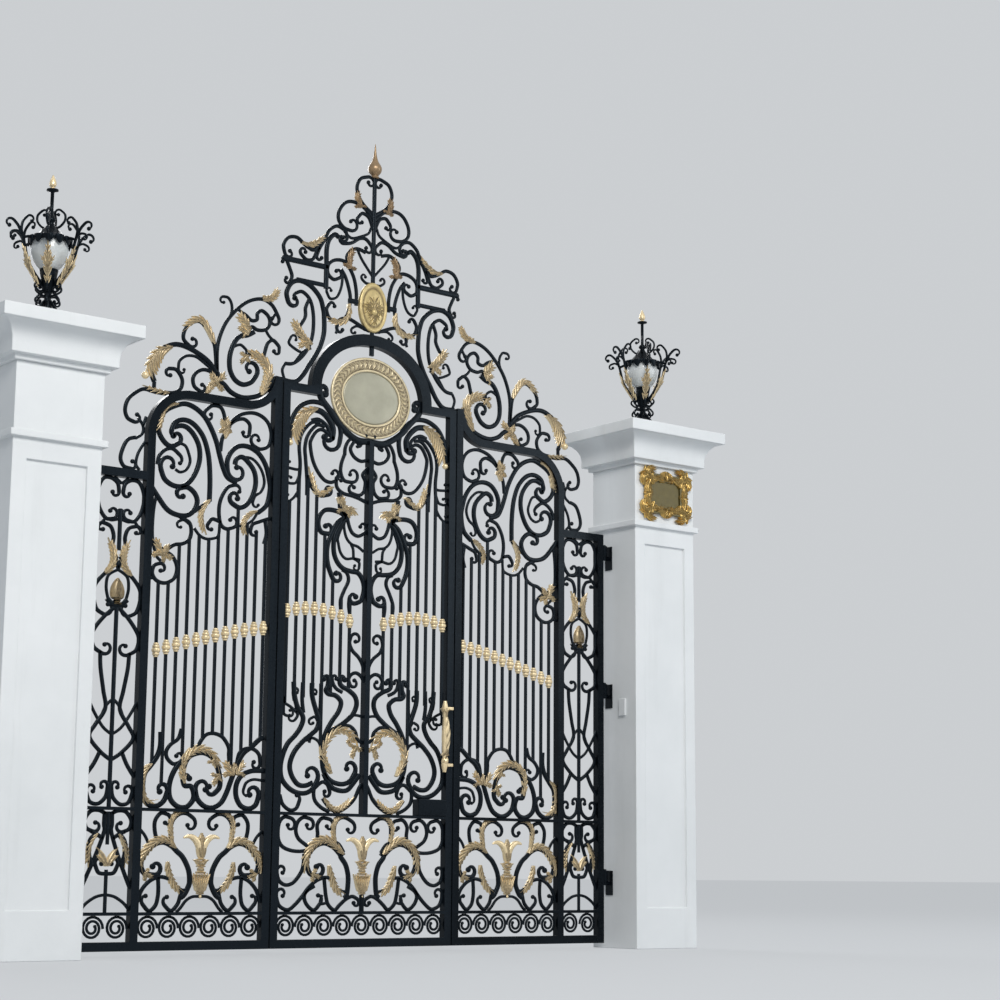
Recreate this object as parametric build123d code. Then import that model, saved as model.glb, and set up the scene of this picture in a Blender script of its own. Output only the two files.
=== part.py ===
from build123d import *
import math
import os

# A wrought iron driveway gate of three leaves between two masonry pillars with lanterns.
# Millimetres. The origin is on the ground midway between the pillars, X runs to the right and
# Z up, and the front is to -Y. The leaves hang on a plane of their own, behind the middle of
# the pillars, and are drawn about Y = 0 and moved there last.
# An ironwork outline gives (out, up): the distance from the middle of the gate, or from the
# middle of a panel, and the height above the ground.

# Leaves
leaf_plane = 45.0
tube = 44.0
centre_half = 577.0
seam_gap = 8.0
side_post = 1357.0
leaf_reach = 1682.0
ground_gap = 30.0
shoulder_top = 3000.0
side_top = 2859.0
side_corner = 230.0
swoop_radius = 190.0
panel_top = 2405.0
arch_half = 362.0
arch_rise = 306.0
arch_width = 48.0
arch_edge = 12.0
arch_edge_gap = 2.0
thin_rail = 16.0
lower_rail = 216.0
lock_rail = 723.0
seat = 0.3

# Ironwork
bar = 14.0
scroll_depth = 18.0
leaf_thick = 8.0
scroll_width = 12.0
heavy_width = 16.0
fine_width = 9.0
curl_step = 42.0
eye_share = 0.95
tip_share = 0.62
ring_bite = 4.0
whorl_turn = 760.0
side_bars = 12
side_last_bar = 1280.0
side_pitch = 56.9
half_bars = 8
first_bar = 510.0
bar_pitch = 57.0
centre_bar = 30.0
rods_reach = 2600.0

# Collars on the bars
collar_height = 74.0
collar_radius = 23.8
collar_waist = 15.0
collar_sides = 8
side_collar_in = 1668.0
side_collar_bend = 1.3
side_collar_out = 1490.0
centre_collar_top = 1795.0
centre_collar_peak = 345.0
centre_collar_fall = 0.00088

# Medallion, cartouche and finial
medallion_height = 2990.0
medallion_half = (266.0, 229.0)
disc_half = (184.0, 146.0)
medallion_rim = 14.0
medallion_depth = 22.0
disc_depth = 12.0
cartouche_height = 3505.0
cartouche_half = (94.0, 144.0)
cartouche_depth = 34.0
spindle = 16.0
crest_step = 3520.0
finial_seat = 4256.0
finial = ((18.0, 0.0), (25.0, 8.0), (18.0, 16.0), (30.0, 30.0), (38.0, 52.0), (34.0, 74.0),
          (20.0, 98.0), (11.0, 126.0), (6.0, 160.0), (3.0, 206.0))

# Handle and lock
handle_low = 960.0
handle_high = 1350.0
handle_out = 500.0
handle_reach = 50.0
handle_radius = 18.0
lock_out = (345.0, 533.0)
lock_up = 812.0
lock_depth = 60.0

# Hinges
pillar_face = 1744.0
hinge_line = 1706.0
pin_radius = 10.0
pin_fit = 0.05
knuckle_radius = 18.0
knuckle_height = 60.0
hinge_heights = (380.0, 1460.0, 2280.0)
hinge_gap = 0.6
seam_hinges = (330.0, 1560.0, 2650.0)
seam_pin = 7.0
seam_knuckle = 12.0
seam_leaf_thick = 5.0

# Pillars
pillar_width = 470.0
pillar_deep = 380.0
pillar_height = 2813.0
cap_top = 3053.0
cap_profile = ((21.0, 0.0), (21.0, 27.0), (51.0, 27.0), (51.0, 72.0), (56.0, 105.0),
               (70.0, 135.0), (93.0, 160.0), (120.0, 174.0), (140.0, 174.0))
band_height = 2460.0
band_out = 22.0
band_thick = 34.0
panel_margin = 75.0
panel_recess = 14.0
panel_low = 230.0
panel_high = 2340.0

# Lanterns and plaque
lantern_ribs = 6
lantern_iron = 10.0
lantern_bar = 9.0
turned_sides = 16
lantern_foot = ((80.0, 0.0), (80.0, 10.0), (34.0, 18.0), (20.0, 40.0), (24.0, 90.0),
                (17.0, 120.0), (17.0, 160.0), (32.0, 190.0), (40.0, 235.0), (47.0, 288.0))
lantern_globe = ((44.0, 288.3), (70.0, 318.0), (88.0, 358.0), (92.0, 395.0), (84.0, 431.7))
lantern_roof = ((104.0, 432.0), (104.0, 446.0), (72.0, 452.0), (44.0, 470.0), (20.0, 500.0),
                (13.0, 530.0), (22.0, 541.0), (22.0, 551.0), (9.0, 560.0), (9.0, 690.0),
                (30.0, 698.0), (30.0, 704.0), (10.0, 708.0), (18.0, 728.0), (15.0, 745.0),
                (3.0, 780.0))
plaque_size = (404.0, 326.0)
plaque_field = (270.0, 205.0)
plaque_height = 2641.0
plaque_depth = 20.0
plaque_sink = 9.0

pillar_middle = pillar_face + pillar_width / 2
pillar_front = -pillar_deep / 2
pillar_back = pillar_deep / 2
centre_inner = centre_half - tube
side_inner = centre_half + seam_gap
side_first = side_inner + tube
post_in = side_post - tube / 2
post_out = side_post + tube / 2
outer_first = leaf_reach - tube
bottom_rail = ground_gap + tube
side_mid = (side_first + post_in) / 2
panel_mid = (post_out + outer_first) / 2


def turned(point, heading, length):
    """The point reached from here along a heading."""
    return (point[0] + length * math.cos(heading), point[1] + length * math.sin(heading))


def heading_of(a, b):
    return math.atan2(b[1] - a[1], b[0] - a[0])


def wrapped(angle):
    return (angle + math.pi) % (2 * math.pi) - math.pi


def smooth(points, parts=3):
    """A rounded run through the points, with a few straight steps between each two."""
    if len(points) < 3:
        return list(points)
    run = []
    ends = [points[0]] + list(points) + [points[-1]]
    for a, b, c, d in zip(ends, ends[1:], ends[2:], ends[3:]):
        for k in range(parts):
            t = k / parts
            run.append(tuple(
                0.5 * (2 * b[i] + (c[i] - a[i]) * t
                       + (2 * a[i] - 5 * b[i] + 4 * c[i] - d[i]) * t * t
                       + (3 * b[i] - a[i] - 3 * c[i] + d[i]) * t ** 3)
                for i in (0, 1)))
    return run + [points[-1]]


def thinned(run, step):
    """Drops the points between which the run hardly turns."""
    kept = [run[0]]
    turn = 0.0
    for a, b, c in zip(run, run[1:], run[2:]):
        turn += abs(wrapped(heading_of(b, c) - heading_of(a, b)))
        if turn >= math.radians(step) / 2:
            kept.append(b)
            turn = 0.0
    return kept + [run[-1]]


def curl(point, heading, radius, degrees, side, width):
    """The steps of a curl that tightens from its first radius to its eye."""
    steps = max(3, round(degrees / curl_step))
    turn = math.radians(degrees) / steps
    last = max(0.3 * radius, 0.9 * width)
    run = []
    for k in range(steps):
        now = radius + (last - radius) * (k + 0.5) / steps
        heading += side * turn / 2
        point = turned(point, heading, 2 * now * math.sin(turn / 2))
        heading += side * turn / 2
        run.append(point)
    return run


def bend_side(a, b, c):
    return 1 if wrapped(heading_of(b, c) - heading_of(a, b)) >= 0 else -1


def strip(run, widths):
    """The outline of a bar of changing width along a run."""
    left = []
    right = []
    for k, point in enumerate(run):
        back = run[max(k - 1, 0)]
        on = run[min(k + 1, len(run) - 1)]
        across = heading_of(back, on) + math.pi / 2
        if 0 < k < len(run) - 1:
            half_turn = wrapped(heading_of(point, on) - heading_of(back, point)) / 2
            reach = widths[k] / 2 / max(math.cos(half_turn), 0.6)
        else:
            reach = widths[k] / 2
        left.append(turned(point, across, reach))
        right.append(turned(point, across, -reach))
    return make_face(Polyline(*left, *reversed(right), close=True))


def scroll(points, start=None, end=None, width=scroll_width):
    """A forged scroll through the points; start and end are (radius, degrees) of a curl."""
    body = smooth(points)
    head = []
    tail = []
    if start:
        side = bend_side(body[2], body[1], body[0])
        head = curl(body[0], heading_of(body[1], body[0]), *start, side, width)
    if end:
        side = bend_side(body[-3], body[-2], body[-1])
        tail = curl(body[-1], heading_of(body[-2], body[-1]), *end, side, width)
    run = list(reversed(head)) + thinned(body, curl_step) + tail
    widths = [width] * len(run)
    for k in range(len(head)):
        widths[k] = width * (tip_share + (1 - tip_share) * k / len(head))
    for k in range(len(tail)):
        widths[len(run) - 1 - k] = width * (tip_share + (1 - tip_share) * k / len(tail))
    faces = [strip(run, widths)]
    if head:
        faces.append(Pos(*run[0]) * RegularPolygon(eye_share * width, 6))
    if tail:
        faces.append(Pos(*run[-1]) * RegularPolygon(eye_share * width, 6))
    return faces


def block(x0, x1, z0, z1):
    return Pos((x0 + x1) / 2, (z0 + z1) / 2) * Rectangle(abs(x1 - x0), abs(z1 - z0))


def merged(faces):
    return Sketch() + faces


def flat(groups):
    return [face for group in groups for face in group]


def within(outline, field):
    """The part of an outline that lies in a field."""
    return merged((outline & field).faces())


def both_ways(faces):
    """The outlines and their mirror images about the middle line."""
    return merged(faces + [mirror(face, Plane.YZ) for face in faces])


def beside(faces, middle):
    """Both ways about a panel's middle."""
    return Pos(middle, 0) * both_ways(faces)


def upright(outline, depth, front=None):
    """Stands a flat outline up in the gate's plane, centred on it unless a front is given."""
    solid = extrude(outline, depth / 2, both=True)
    shift = 0 if front is None else front + depth / 2
    return Pos(0, shift, 0) * (Plane.XZ * solid)


def handed(shape, side):
    """The piece for the right side, or mirrored for the left."""
    return shape if side > 0 else mirror(shape, Plane.YZ)


os.makedirs("parts", exist_ok=True)


def save(shape, name):
    solids = shape.solids()
    export_step(Compound(children=solids) if len(solids) > 1 else solids[0],
                os.path.join("parts", name + ".step"))


def hang(shape, name):
    """Saves a piece of the leaves on the plane where they hang."""
    save(Pos(0, leaf_plane, 0) * shape, name)


def spun(profile, sides=turned_sides):
    """A turned piece about the Z axis from (radius, height) points, in flat facets."""
    angles = [math.tau * (k + 0.5) / sides for k in range(sides)]
    rings = [[(radius * math.cos(angle), radius * math.sin(angle), up) for angle in angles]
             for radius, up in profile]
    faces = [Face(Wire.make_polygon(rings[0])), Face(Wire.make_polygon(rings[-1]))]
    for low, high in zip(rings, rings[1:]):
        for k in range(sides):
            on = (k + 1) % sides
            faces.append(Face(Wire.make_polygon([low[k], low[on], high[on], high[k]])))
    return Solid(Shell(faces))


# Frames

def arc_band(out, up, radius, width, first, last):
    """A bent length of tube, as the part of a ring between two angles."""
    ring = Circle(radius + width / 2) - Circle(radius - width / 2)
    reach = 3 * radius
    wedge = make_face(Polyline(
        (0, 0),
        (reach * math.cos(math.radians(first)), reach * math.sin(math.radians(first))),
        (reach * math.cos(math.radians((first + last) / 2)),
         reach * math.sin(math.radians((first + last) / 2))),
        (reach * math.cos(math.radians(last)), reach * math.sin(math.radians(last))),
        close=True))
    return Pos(out, up) * (ring & wedge)


swoop_middle = side_first - tube / 2 + swoop_radius
swoop_level = side_top - tube / 2 + swoop_radius


def side_frame_outline():
    corner = side_post - side_corner
    return merged([
        block(side_inner, side_first, ground_gap, shoulder_top),
        block(post_in, post_out, ground_gap, side_top - tube / 2 - side_corner),
        arc_band(corner, side_top - tube / 2 - side_corner, side_corner, tube, 0, 90),
        block(swoop_middle, corner, side_top - tube, side_top),
        arc_band(swoop_middle, swoop_level, swoop_radius, tube, 183, 270),
        block(outer_first, leaf_reach, ground_gap, panel_top),
        block(post_out - seat, outer_first, panel_top - tube, panel_top),
        block(side_inner, leaf_reach, ground_gap, bottom_rail),
        block(side_first - seat, outer_first + seat, lower_rail - thin_rail, lower_rail),
        block(side_first - seat, outer_first + seat, lock_rail - thin_rail, lock_rail),
    ])


def arch_band(half, rise, width):
    outer = Ellipse(half + width / 2, rise + width / 2)
    ring = outer - Ellipse(half - width / 2, rise - width / 2)
    return Pos(0, shoulder_top) * (ring & block(-half - width, half + width, 0, rise + width))


arch_foot = arch_half - arch_width / 2
edge_half = arch_half + arch_width / 2 + arch_edge_gap + arch_edge / 2
edge_rise = arch_rise + arch_width / 2 + arch_edge_gap + arch_edge / 2


def centre_frame_outline():
    half = [
        block(centre_inner, centre_half, ground_gap, shoulder_top),
        block(arch_foot, centre_half, shoulder_top - tube, shoulder_top),
    ]
    return both_ways(half) + merged([
        block(-centre_half, centre_half, ground_gap, bottom_rail),
        block(-centre_half, centre_half, lower_rail - thin_rail, lower_rail),
        block(-centre_half, centre_half, lock_rail - thin_rail, lock_rail),
        arch_band(arch_half, arch_rise, arch_width),
        arch_band(edge_half, edge_rise, arch_edge + 2 * arch_edge_gap),
    ])


def ellipse_at(half, up):
    return Pos(0, up) * Ellipse(*half)


def grown(half, by):
    return (half[0] + by, half[1] + by)


rim_outline = ellipse_at(grown(medallion_half, medallion_rim), medallion_height)
ring_outline = ellipse_at(medallion_half, medallion_height)
disc_outline = ellipse_at(disc_half, medallion_height)

# Openings that each field of scrollwork is trimmed to

side_field = merged([
    block(side_first, post_in, lock_rail, side_top - tube / 2 - side_corner),
    block(swoop_middle, side_post - side_corner, lock_rail, side_top - tube),
    block(side_first, swoop_middle, lock_rail, side_top),
    Pos(side_post - side_corner, side_top - tube / 2 - side_corner)
    * Circle(side_corner - tube / 2),
]) - Pos(swoop_middle, swoop_level) * Circle(swoop_radius + tube / 2)
side_low_field = block(side_first, post_in, lower_rail, lock_rail - thin_rail)
panel_field = block(post_out, outer_first, lock_rail, panel_top - tube)
panel_low_field = block(post_out, outer_first, lower_rail, lock_rail - thin_rail)
side_ring_field = block(side_first, post_in, bottom_rail, lower_rail - thin_rail)
panel_ring_field = block(post_out, outer_first, bottom_rail, lower_rail - thin_rail)
arch_hole = Pos(0, shoulder_top) * Ellipse(arch_half - arch_width / 2,
                                           arch_rise - arch_width / 2)
centre_field = merged([
    block(-centre_inner, centre_inner, lock_rail, shoulder_top - tube),
    block(-arch_foot, arch_foot, lock_rail, shoulder_top),
    arch_hole & block(-arch_foot, arch_foot, shoulder_top, shoulder_top + arch_rise),
])
centre_low_field = block(-centre_inner, centre_inner, lower_rail, lock_rail - thin_rail)
centre_ring_field = block(-centre_inner, centre_inner, bottom_rail, lower_rail - thin_rail)

# Scrollwork of the centre leaf, from the top down, for the half at +X

medallion_loops = [
    scroll([(12, 2744), (83, 2744), (150, 2775), (217, 2826), (267, 2883), (322, 2939),
            (338, 2978)], end=(26, 250), width=heavy_width + 6),
    [block(-9, 9, medallion_height + medallion_half[1] + medallion_rim - 2,
           shoulder_top + arch_rise - arch_width / 2 + 2)],
]
centre_upper = [
    scroll([(522, 2700), (520, 2744), (505, 2811), (472, 2867), (428, 2900), (372, 2917),
            (305, 2911), (250, 2878), (211, 2828), (194, 2772), (200, 2717)],
           end=(62, 330), width=heavy_width),
    scroll([(372, 2875), (320, 2868), (275, 2835), (246, 2790), (247, 2745)], end=(34, 160),
           width=heavy_width + 4),
    scroll([(383, 2814), (340, 2824), (290, 2800), (262, 2752)]),
    scroll([(262, 2745), (310, 2770), (350, 2758), (380, 2715), (389, 2678), (372, 2600),
            (339, 2540), (294, 2497), (250, 2489), (217, 2506)], end=(34, 250)),
    scroll([(300, 2790), (352, 2790), (405, 2730), (422, 2660), (417, 2600), (405, 2489),
            (403, 2400)]),
    scroll([(330, 2805), (385, 2800), (440, 2740), (459, 2670), (450, 2560), (457, 2440),
            (457, 2380)]),
    scroll([(403, 2510), (394, 2480), (361, 2436), (317, 2408), (267, 2417)], end=(28, 280)),
    scroll([(450, 2540), (470, 2532), (520, 2535)], end=(24, 220), width=fine_width),
    scroll([(455, 2500), (475, 2460), (505, 2452)], end=(26, 250), width=fine_width),
    scroll([(458, 2420), (480, 2385), (505, 2362)], end=(26, 250), width=fine_width),
    scroll([(20, 2740), (72, 2728), (128, 2745), (160, 2700), (165, 2650)], start=(24, 200)),
    scroll([(18, 2640), (60, 2630), (105, 2650), (128, 2690), (105, 2735)], end=(30, 270)),
    scroll([(166, 2655), (186, 2600), (188, 2550), (165, 2510), (120, 2505)], end=(44, 300)),
    scroll([(20, 2590), (44, 2556), (26, 2517), (35, 2465), (67, 2439), (111, 2444)],
           start=(26, 250), end=(28, 240)),
    scroll([(217, 2511), (211, 2467), (172, 2439), (111, 2431), (60, 2420), (18, 2405)],
           start=(22, 230)),
    scroll([(196, 2440), (190, 2400), (184, 2350), (150, 2310)], width=heavy_width),
    scroll([(148, 2315), (194, 2333), (250, 2339), (294, 2328), (322, 2289), (325, 2244),
            (305, 2211), (272, 2206)], end=(32, 250), width=heavy_width),
    scroll([(150, 2312), (200, 2278), (233, 2222), (261, 2156), (267, 2089), (255, 2028),
            (228, 1972)], end=(32, 280), width=heavy_width),
    scroll([(150, 2305), (194, 2244), (222, 2178), (222, 2111), (200, 2061), (161, 2028),
            (111, 2017), (61, 2011), (30, 1972), (22, 1922), (39, 1867), (72, 1847)],
           end=(32, 280), width=heavy_width),
    scroll([(152, 2300), (196, 2200), (194, 2160), (178, 2111), (144, 2083), (94, 2089),
            (50, 2085)], width=fine_width),
    scroll([(150, 2300), (160, 2260), (144, 2200), (111, 2167), (67, 2156), (30, 2133)],
           width=fine_width),
    scroll([(112, 2164), (98, 2140), (94, 2092)], width=fine_width),
    scroll([(142, 2320), (128, 2267), (105, 2228), (67, 2214), (28, 2233)], end=(34, 250)),
    scroll([(94, 2089), (58, 2072), (56, 2045)], end=(22, 240), width=fine_width),
    scroll([(170, 1806), (172, 1856), (150, 1911), (124, 1965), (135, 2005), (165, 2020)]),
    scroll([(112, 1790), (118, 1830), (116, 1870)], width=bar),
]
centre_middle = [
    scroll([(457, 1400), (450, 1330), (430, 1270), (394, 1217), (406, 1167), (439, 1122),
            (483, 1078), (511, 1022), (526, 956), (517, 894), (478, 850), (428, 825),
            (372, 822), (328, 844), (300, 883)], end=(54, 260), width=heavy_width),
    scroll([(342, 1400), (339, 1330), (311, 1250), (294, 1206), (306, 1161), (344, 1128),
            (394, 1089), (444, 1033), (469, 967), (456, 911), (417, 867), (372, 861),
            (328, 878)], width=heavy_width),
    scroll([(443, 1290), (436, 1250), (428, 1225), (440, 1205)], end=(30, 200),
           width=fine_width),
    scroll([(515, 1320), (515, 1290), (472, 1267), (433, 1239)], width=fine_width),
    scroll([(400, 1400), (402, 1310), (392, 1240)], width=bar),
    scroll([(285, 1400), (286, 1290), (292, 1210)], width=bar),
    scroll([(515, 1400), (515, 1250), (508, 1225), (480, 1218)], end=(22, 220),
           width=fine_width),
    scroll([(296, 1190), (318, 1222), (345, 1214)], end=(20, 230), width=fine_width),
    scroll([(238, 1424), (242, 1392), (253, 1366), (236, 1348), (196, 1343), (166, 1324),
            (156, 1300), (172, 1256), (211, 1206), (250, 1139), (267, 1067), (267, 989),
            (250, 928), (205, 888), (139, 876), (89, 895), (61, 933)], start=(17, 190),
           end=(44, 250), width=heavy_width),
    scroll([(168, 1428), (164, 1405), (146, 1390), (111, 1376), (67, 1344), (56, 1300),
            (78, 1250), (122, 1211), (172, 1178), (225, 1150), (248, 1130)],
           start=(17, 190), width=heavy_width),
    scroll([(12, 1480), (24, 1520), (48, 1555), (88, 1588), (108, 1625), (104, 1655)],
           end=(36, 290)),
    scroll([(12, 1425), (28, 1452), (60, 1470), (92, 1462), (110, 1436), (104, 1412)],
           end=(28, 250)),
    scroll([(150, 1362), (186, 1378), (208, 1402), (216, 1428)], end=(17, 210)),
    scroll([(452, 1300), (460, 1340), (456, 1356)], end=(17, 230), width=fine_width),
    scroll([(336, 1300), (344, 1340), (340, 1356)], end=(17, 230), width=fine_width),
    scroll([(258, 930), (217, 867), (167, 844), (111, 844), (72, 878), (30, 930)],
           width=heavy_width),
    scroll([(172, 1180), (139, 1186), (94, 1183), (61, 1156), (46, 1115), (14, 1100)]),
    scroll([(122, 1216), (100, 1236), (78, 1243), (50, 1244), (14, 1238)], width=fine_width),
    scroll([(394, 1092), (367, 1098), (333, 1111), (294, 1094), (276, 1056)], width=fine_width),
    scroll([(340, 1130), (352, 1085)], width=fine_width),
    scroll([(300, 884), (310, 866), (317, 822), (306, 783), (267, 750), (218, 729)]),
    scroll([(312, 850), (267, 883), (233, 872), (217, 839)], end=(24, 250)),
    scroll([(262, 800), (217, 752), (167, 731), (111, 755), (60, 800), (30, 858), (14, 880)]),
    scroll([(526, 810), (506, 761), (461, 732), (422, 744), (404, 783)], end=(24, 120)),
]
centre_low = [
    scroll([(350, 528), (394, 522), (450, 526), (500, 544), (526, 578), (531, 628),
            (522, 672), (494, 697), (456, 692)], end=(36, 280)),
    scroll([(316, 532), (367, 561), (406, 589), (422, 628), (411, 672), (378, 697),
            (339, 692)], end=(34, 280)),
    scroll([(292, 560), (286, 611), (289, 661), (261, 695), (217, 692)], end=(33, 260)),
    scroll([(183, 575), (183, 617), (178, 667), (150, 697), (111, 700), (72, 683)],
           end=(40, 250)),
    scroll([(367, 510), (372, 444), (394, 400), (433, 361), (478, 350), (517, 372),
            (531, 411)], end=(30, 270)),
    scroll([(200, 386), (239, 389), (289, 372), (333, 339), (372, 294), (417, 250),
            (461, 224), (511, 244), (531, 289)], end=(34, 270)),
    scroll([(120, 520), (139, 500), (106, 456), (89, 400), (89, 344), (96, 300), (110, 285)],
           width=heavy_width),
    scroll([(139, 506), (183, 545), (239, 566), (294, 553), (336, 513), (352, 467),
            (330, 411), (289, 398)], end=(38, 260), width=heavy_width),
    scroll([(206, 444), (194, 394), (161, 333), (111, 317), (92, 320)], width=fine_width),
    scroll([(300, 345), (345, 320), (361, 290), (344, 250), (300, 222), (261, 256)],
           end=(32, 150)),
    scroll([(240, 388), (232, 330), (225, 290), (211, 250), (172, 222), (139, 248),
            (100, 278), (61, 292), (30, 280)], end=(22, 250)),
    scroll([(250, 300), (261, 256), (225, 258)], width=fine_width),
    scroll([(183, 575), (150, 560), (120, 520)]),
]
centre_vase = [scroll([(0, 214), (0, 250), (0, 300)], width=heavy_width)]

# Scrollwork of a side leaf, from the top down

side_upper = [
    scroll([(888, 2718), (870, 2747), (823, 2782), (753, 2800), (694, 2788), (653, 2753),
            (636, 2694), (653, 2635), (700, 2612), (735, 2621)], end=(40, 280)),
    scroll([(890, 2720), (853, 2747), (806, 2759), (771, 2735), (771, 2688)], end=(26, 200)),
    scroll([(915, 2700), (929, 2770), (953, 2803), (1000, 2803), (1035, 2776)],
           end=(32, 280)),
    scroll([(890, 2712), (918, 2670), (935, 2635), (943, 2570)]),
    scroll([(840, 2415), (894, 2435), (923, 2482), (947, 2547), (970, 2618), (1006, 2688),
            (1047, 2741), (1100, 2776), (1159, 2790), (1218, 2771), (1276, 2735),
            (1306, 2682), (1308, 2624), (1276, 2576), (1235, 2556), (1194, 2576)],
           end=(34, 220), width=heavy_width),
    scroll([(706, 2271), (653, 2320), (635, 2400), (641, 2453), (665, 2529), (712, 2588),
            (776, 2615), (835, 2609), (876, 2576), (899, 2529), (899, 2482)],
           end=(60, 300), width=heavy_width),
    scroll([(853, 2510), (845, 2540), (812, 2555), (776, 2535), (735, 2488), (724, 2424),
            (741, 2359), (776, 2306), (818, 2285), (859, 2300)], end=(36, 270),
           width=heavy_width),
    scroll([(812, 2555), (747, 2553), (694, 2506), (671, 2441), (688, 2388), (724, 2359),
            (737, 2330)], end=(26, 200), width=fine_width),
    scroll([(853, 2400), (894, 2382), (929, 2324), (941, 2259), (929, 2188), (894, 2165),
            (853, 2176)], start=(32, 150), end=(34, 250)),
    scroll([(1000, 2297), (1000, 2412), (1012, 2529), (1041, 2618), (1082, 2671),
            (1129, 2700), (1176, 2703), (1218, 2682), (1235, 2640)], end=(26, 90),
           width=heavy_width),
    scroll([(1215, 2660), (1180, 2672), (1141, 2665), (1100, 2629), (1071, 2576),
            (1065, 2512), (1082, 2447), (1118, 2388), (1165, 2356), (1218, 2356),
            (1265, 2382), (1288, 2429)], end=(56, 250), width=heavy_width),
    scroll([(1200, 2580), (1153, 2571), (1129, 2529), (1121, 2488), (1141, 2447),
            (1176, 2429), (1205, 2440)], width=fine_width),
    scroll([(1310, 2453), (1300, 2500), (1265, 2535), (1224, 2545), (1182, 2518)],
           end=(36, 120)),
    scroll([(1335, 2330), (1306, 2294), (1247, 2229), (1188, 2206), (1129, 2209),
            (1088, 2241), (1071, 2288), (1088, 2329), (1129, 2355), (1171, 2347)],
           end=(30, 220), width=heavy_width),
    scroll([(706, 2275), (740, 2225), (800, 2190), (826, 2200)], width=fine_width),
    scroll([(630, 2250), (700, 2222), (735, 2206), (747, 2176)], end=(24, 220)),
    scroll([(660, 2235), (650, 2165), (664, 2110)]),
    scroll([(1000, 2297), (1040, 2270), (1085, 2235)]),
    scroll([(929, 2195), (953, 2204), (982, 2206), (1003, 2180)], end=(22, 160)),
    scroll([(934, 2185), (938, 2130), (959, 2110), (1010, 2100), (1052, 2115), (1085, 2150)],
           width=fine_width),
    scroll([(1188, 2207), (1150, 2190), (1112, 2172), (1100, 2129), (1112, 2085), (1150, 2060),
            (1196, 2050), (1240, 2020)]),
    scroll([(1115, 2168), (1145, 2184), (1171, 2176)], end=(22, 200), width=fine_width),
    scroll([(1310, 2290), (1322, 2200), (1322, 2080), (1300, 1990), (1270, 1960)],
           width=fine_width),
    scroll([(1335, 2080), (1300, 2040), (1240, 2010), (1200, 1985), (1176, 1935), (1190, 1880),
            (1240, 1850), (1290, 1858), (1316, 1892), (1308, 1932), (1278, 1946)],
           end=(26, 230)),
    scroll([(1302, 1870), (1340, 1866)], width=fine_width),
]
side_middle = [
    scroll([(624, 929), (706, 924), (759, 900), (788, 853), (788, 794), (759, 747),
            (712, 733), (671, 753), (655, 794)], end=(42, 250), width=heavy_width),
    scroll([(624, 878), (688, 882), (729, 865), (745, 830)], end=(30, 120), width=fine_width),
    scroll([(636, 1100), (659, 1088), (706, 1047), (753, 1012), (790, 950), (824, 865),
            (847, 806), (876, 759), (924, 733), (971, 738), (1012, 771), (1026, 812)],
           end=(46, 250), width=heavy_width),
    scroll([(790, 955), (776, 1012), (741, 1037), (694, 1037), (659, 1012), (650, 971)],
           end=(30, 250)),
    scroll([(812, 890), (830, 940), (838, 1000), (841, 1041), (876, 1088), (924, 1106),
            (971, 1100), (1000, 1071), (1020, 1035), (1040, 990)], width=scroll_width),
    scroll([(1100, 865), (1098, 925), (1080, 970), (1048, 995), (988, 1006), (935, 985),
            (902, 935), (886, 876), (888, 835), (915, 806)], end=(30, 200),
           width=heavy_width),
    scroll([(1100, 865), (1088, 838), (1053, 835), (1036, 800), (1041, 765), (1076, 733),
            (1124, 733), (1165, 765), (1178, 812), (1171, 865), (1147, 918), (1112, 959),
            (1084, 975)], start=(22, 200), width=heavy_width),
    scroll([(1235, 1100), (1235, 1029), (1253, 976), (1288, 929), (1318, 890), (1326, 835),
            (1318, 776), (1294, 741), (1247, 733), (1206, 759), (1188, 800)],
           end=(34, 260), width=heavy_width),
    scroll([(1178, 830), (1192, 800)], width=fine_width),
    scroll([(1118, 1120), (1135, 1071), (1176, 1041), (1200, 1006), (1194, 971),
            (1159, 944), (1124, 953)], end=(28, 250)),
    scroll([(1150, 945), (1140, 925)], width=fine_width),
]
side_low = [
    scroll([(110, 285), (90, 300), (72, 330), (61, 365), (70, 424), (103, 482), (138, 512),
            (173, 540), (220, 556), (273, 541), (320, 495), (338, 447), (318, 405),
            (265, 396)], end=(36, 270), width=heavy_width),
    scroll([(173, 545), (179, 612), (167, 665), (132, 696), (91, 700), (56, 682)],
           end=(38, 250)),
    scroll([(240, 552), (262, 590), (270, 640), (262, 672), (235, 699), (200, 694)],
           end=(32, 230)),
    scroll([(185, 630), (178, 665), (200, 696)], width=fine_width),
    scroll([(185, 453), (179, 412), (144, 353), (103, 324), (72, 330)], width=fine_width),
    scroll([(172, 376), (226, 387), (279, 371), (320, 335), (342, 294), (353, 260)]),
    scroll([(103, 324), (112, 294), (126, 253), (162, 222), (197, 247)], end=(32, 150)),
    scroll([(240, 385), (236, 330), (238, 288), (250, 247), (285, 222), (320, 253)],
           end=(32, 150)),
    scroll([(360, 628), (320, 585), (290, 530)], width=fine_width),
    scroll([(0, 292), (44, 290), (79, 271), (109, 235), (134, 210)], width=fine_width),
    scroll([(362, 476), (338, 450)], width=fine_width),
]
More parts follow.
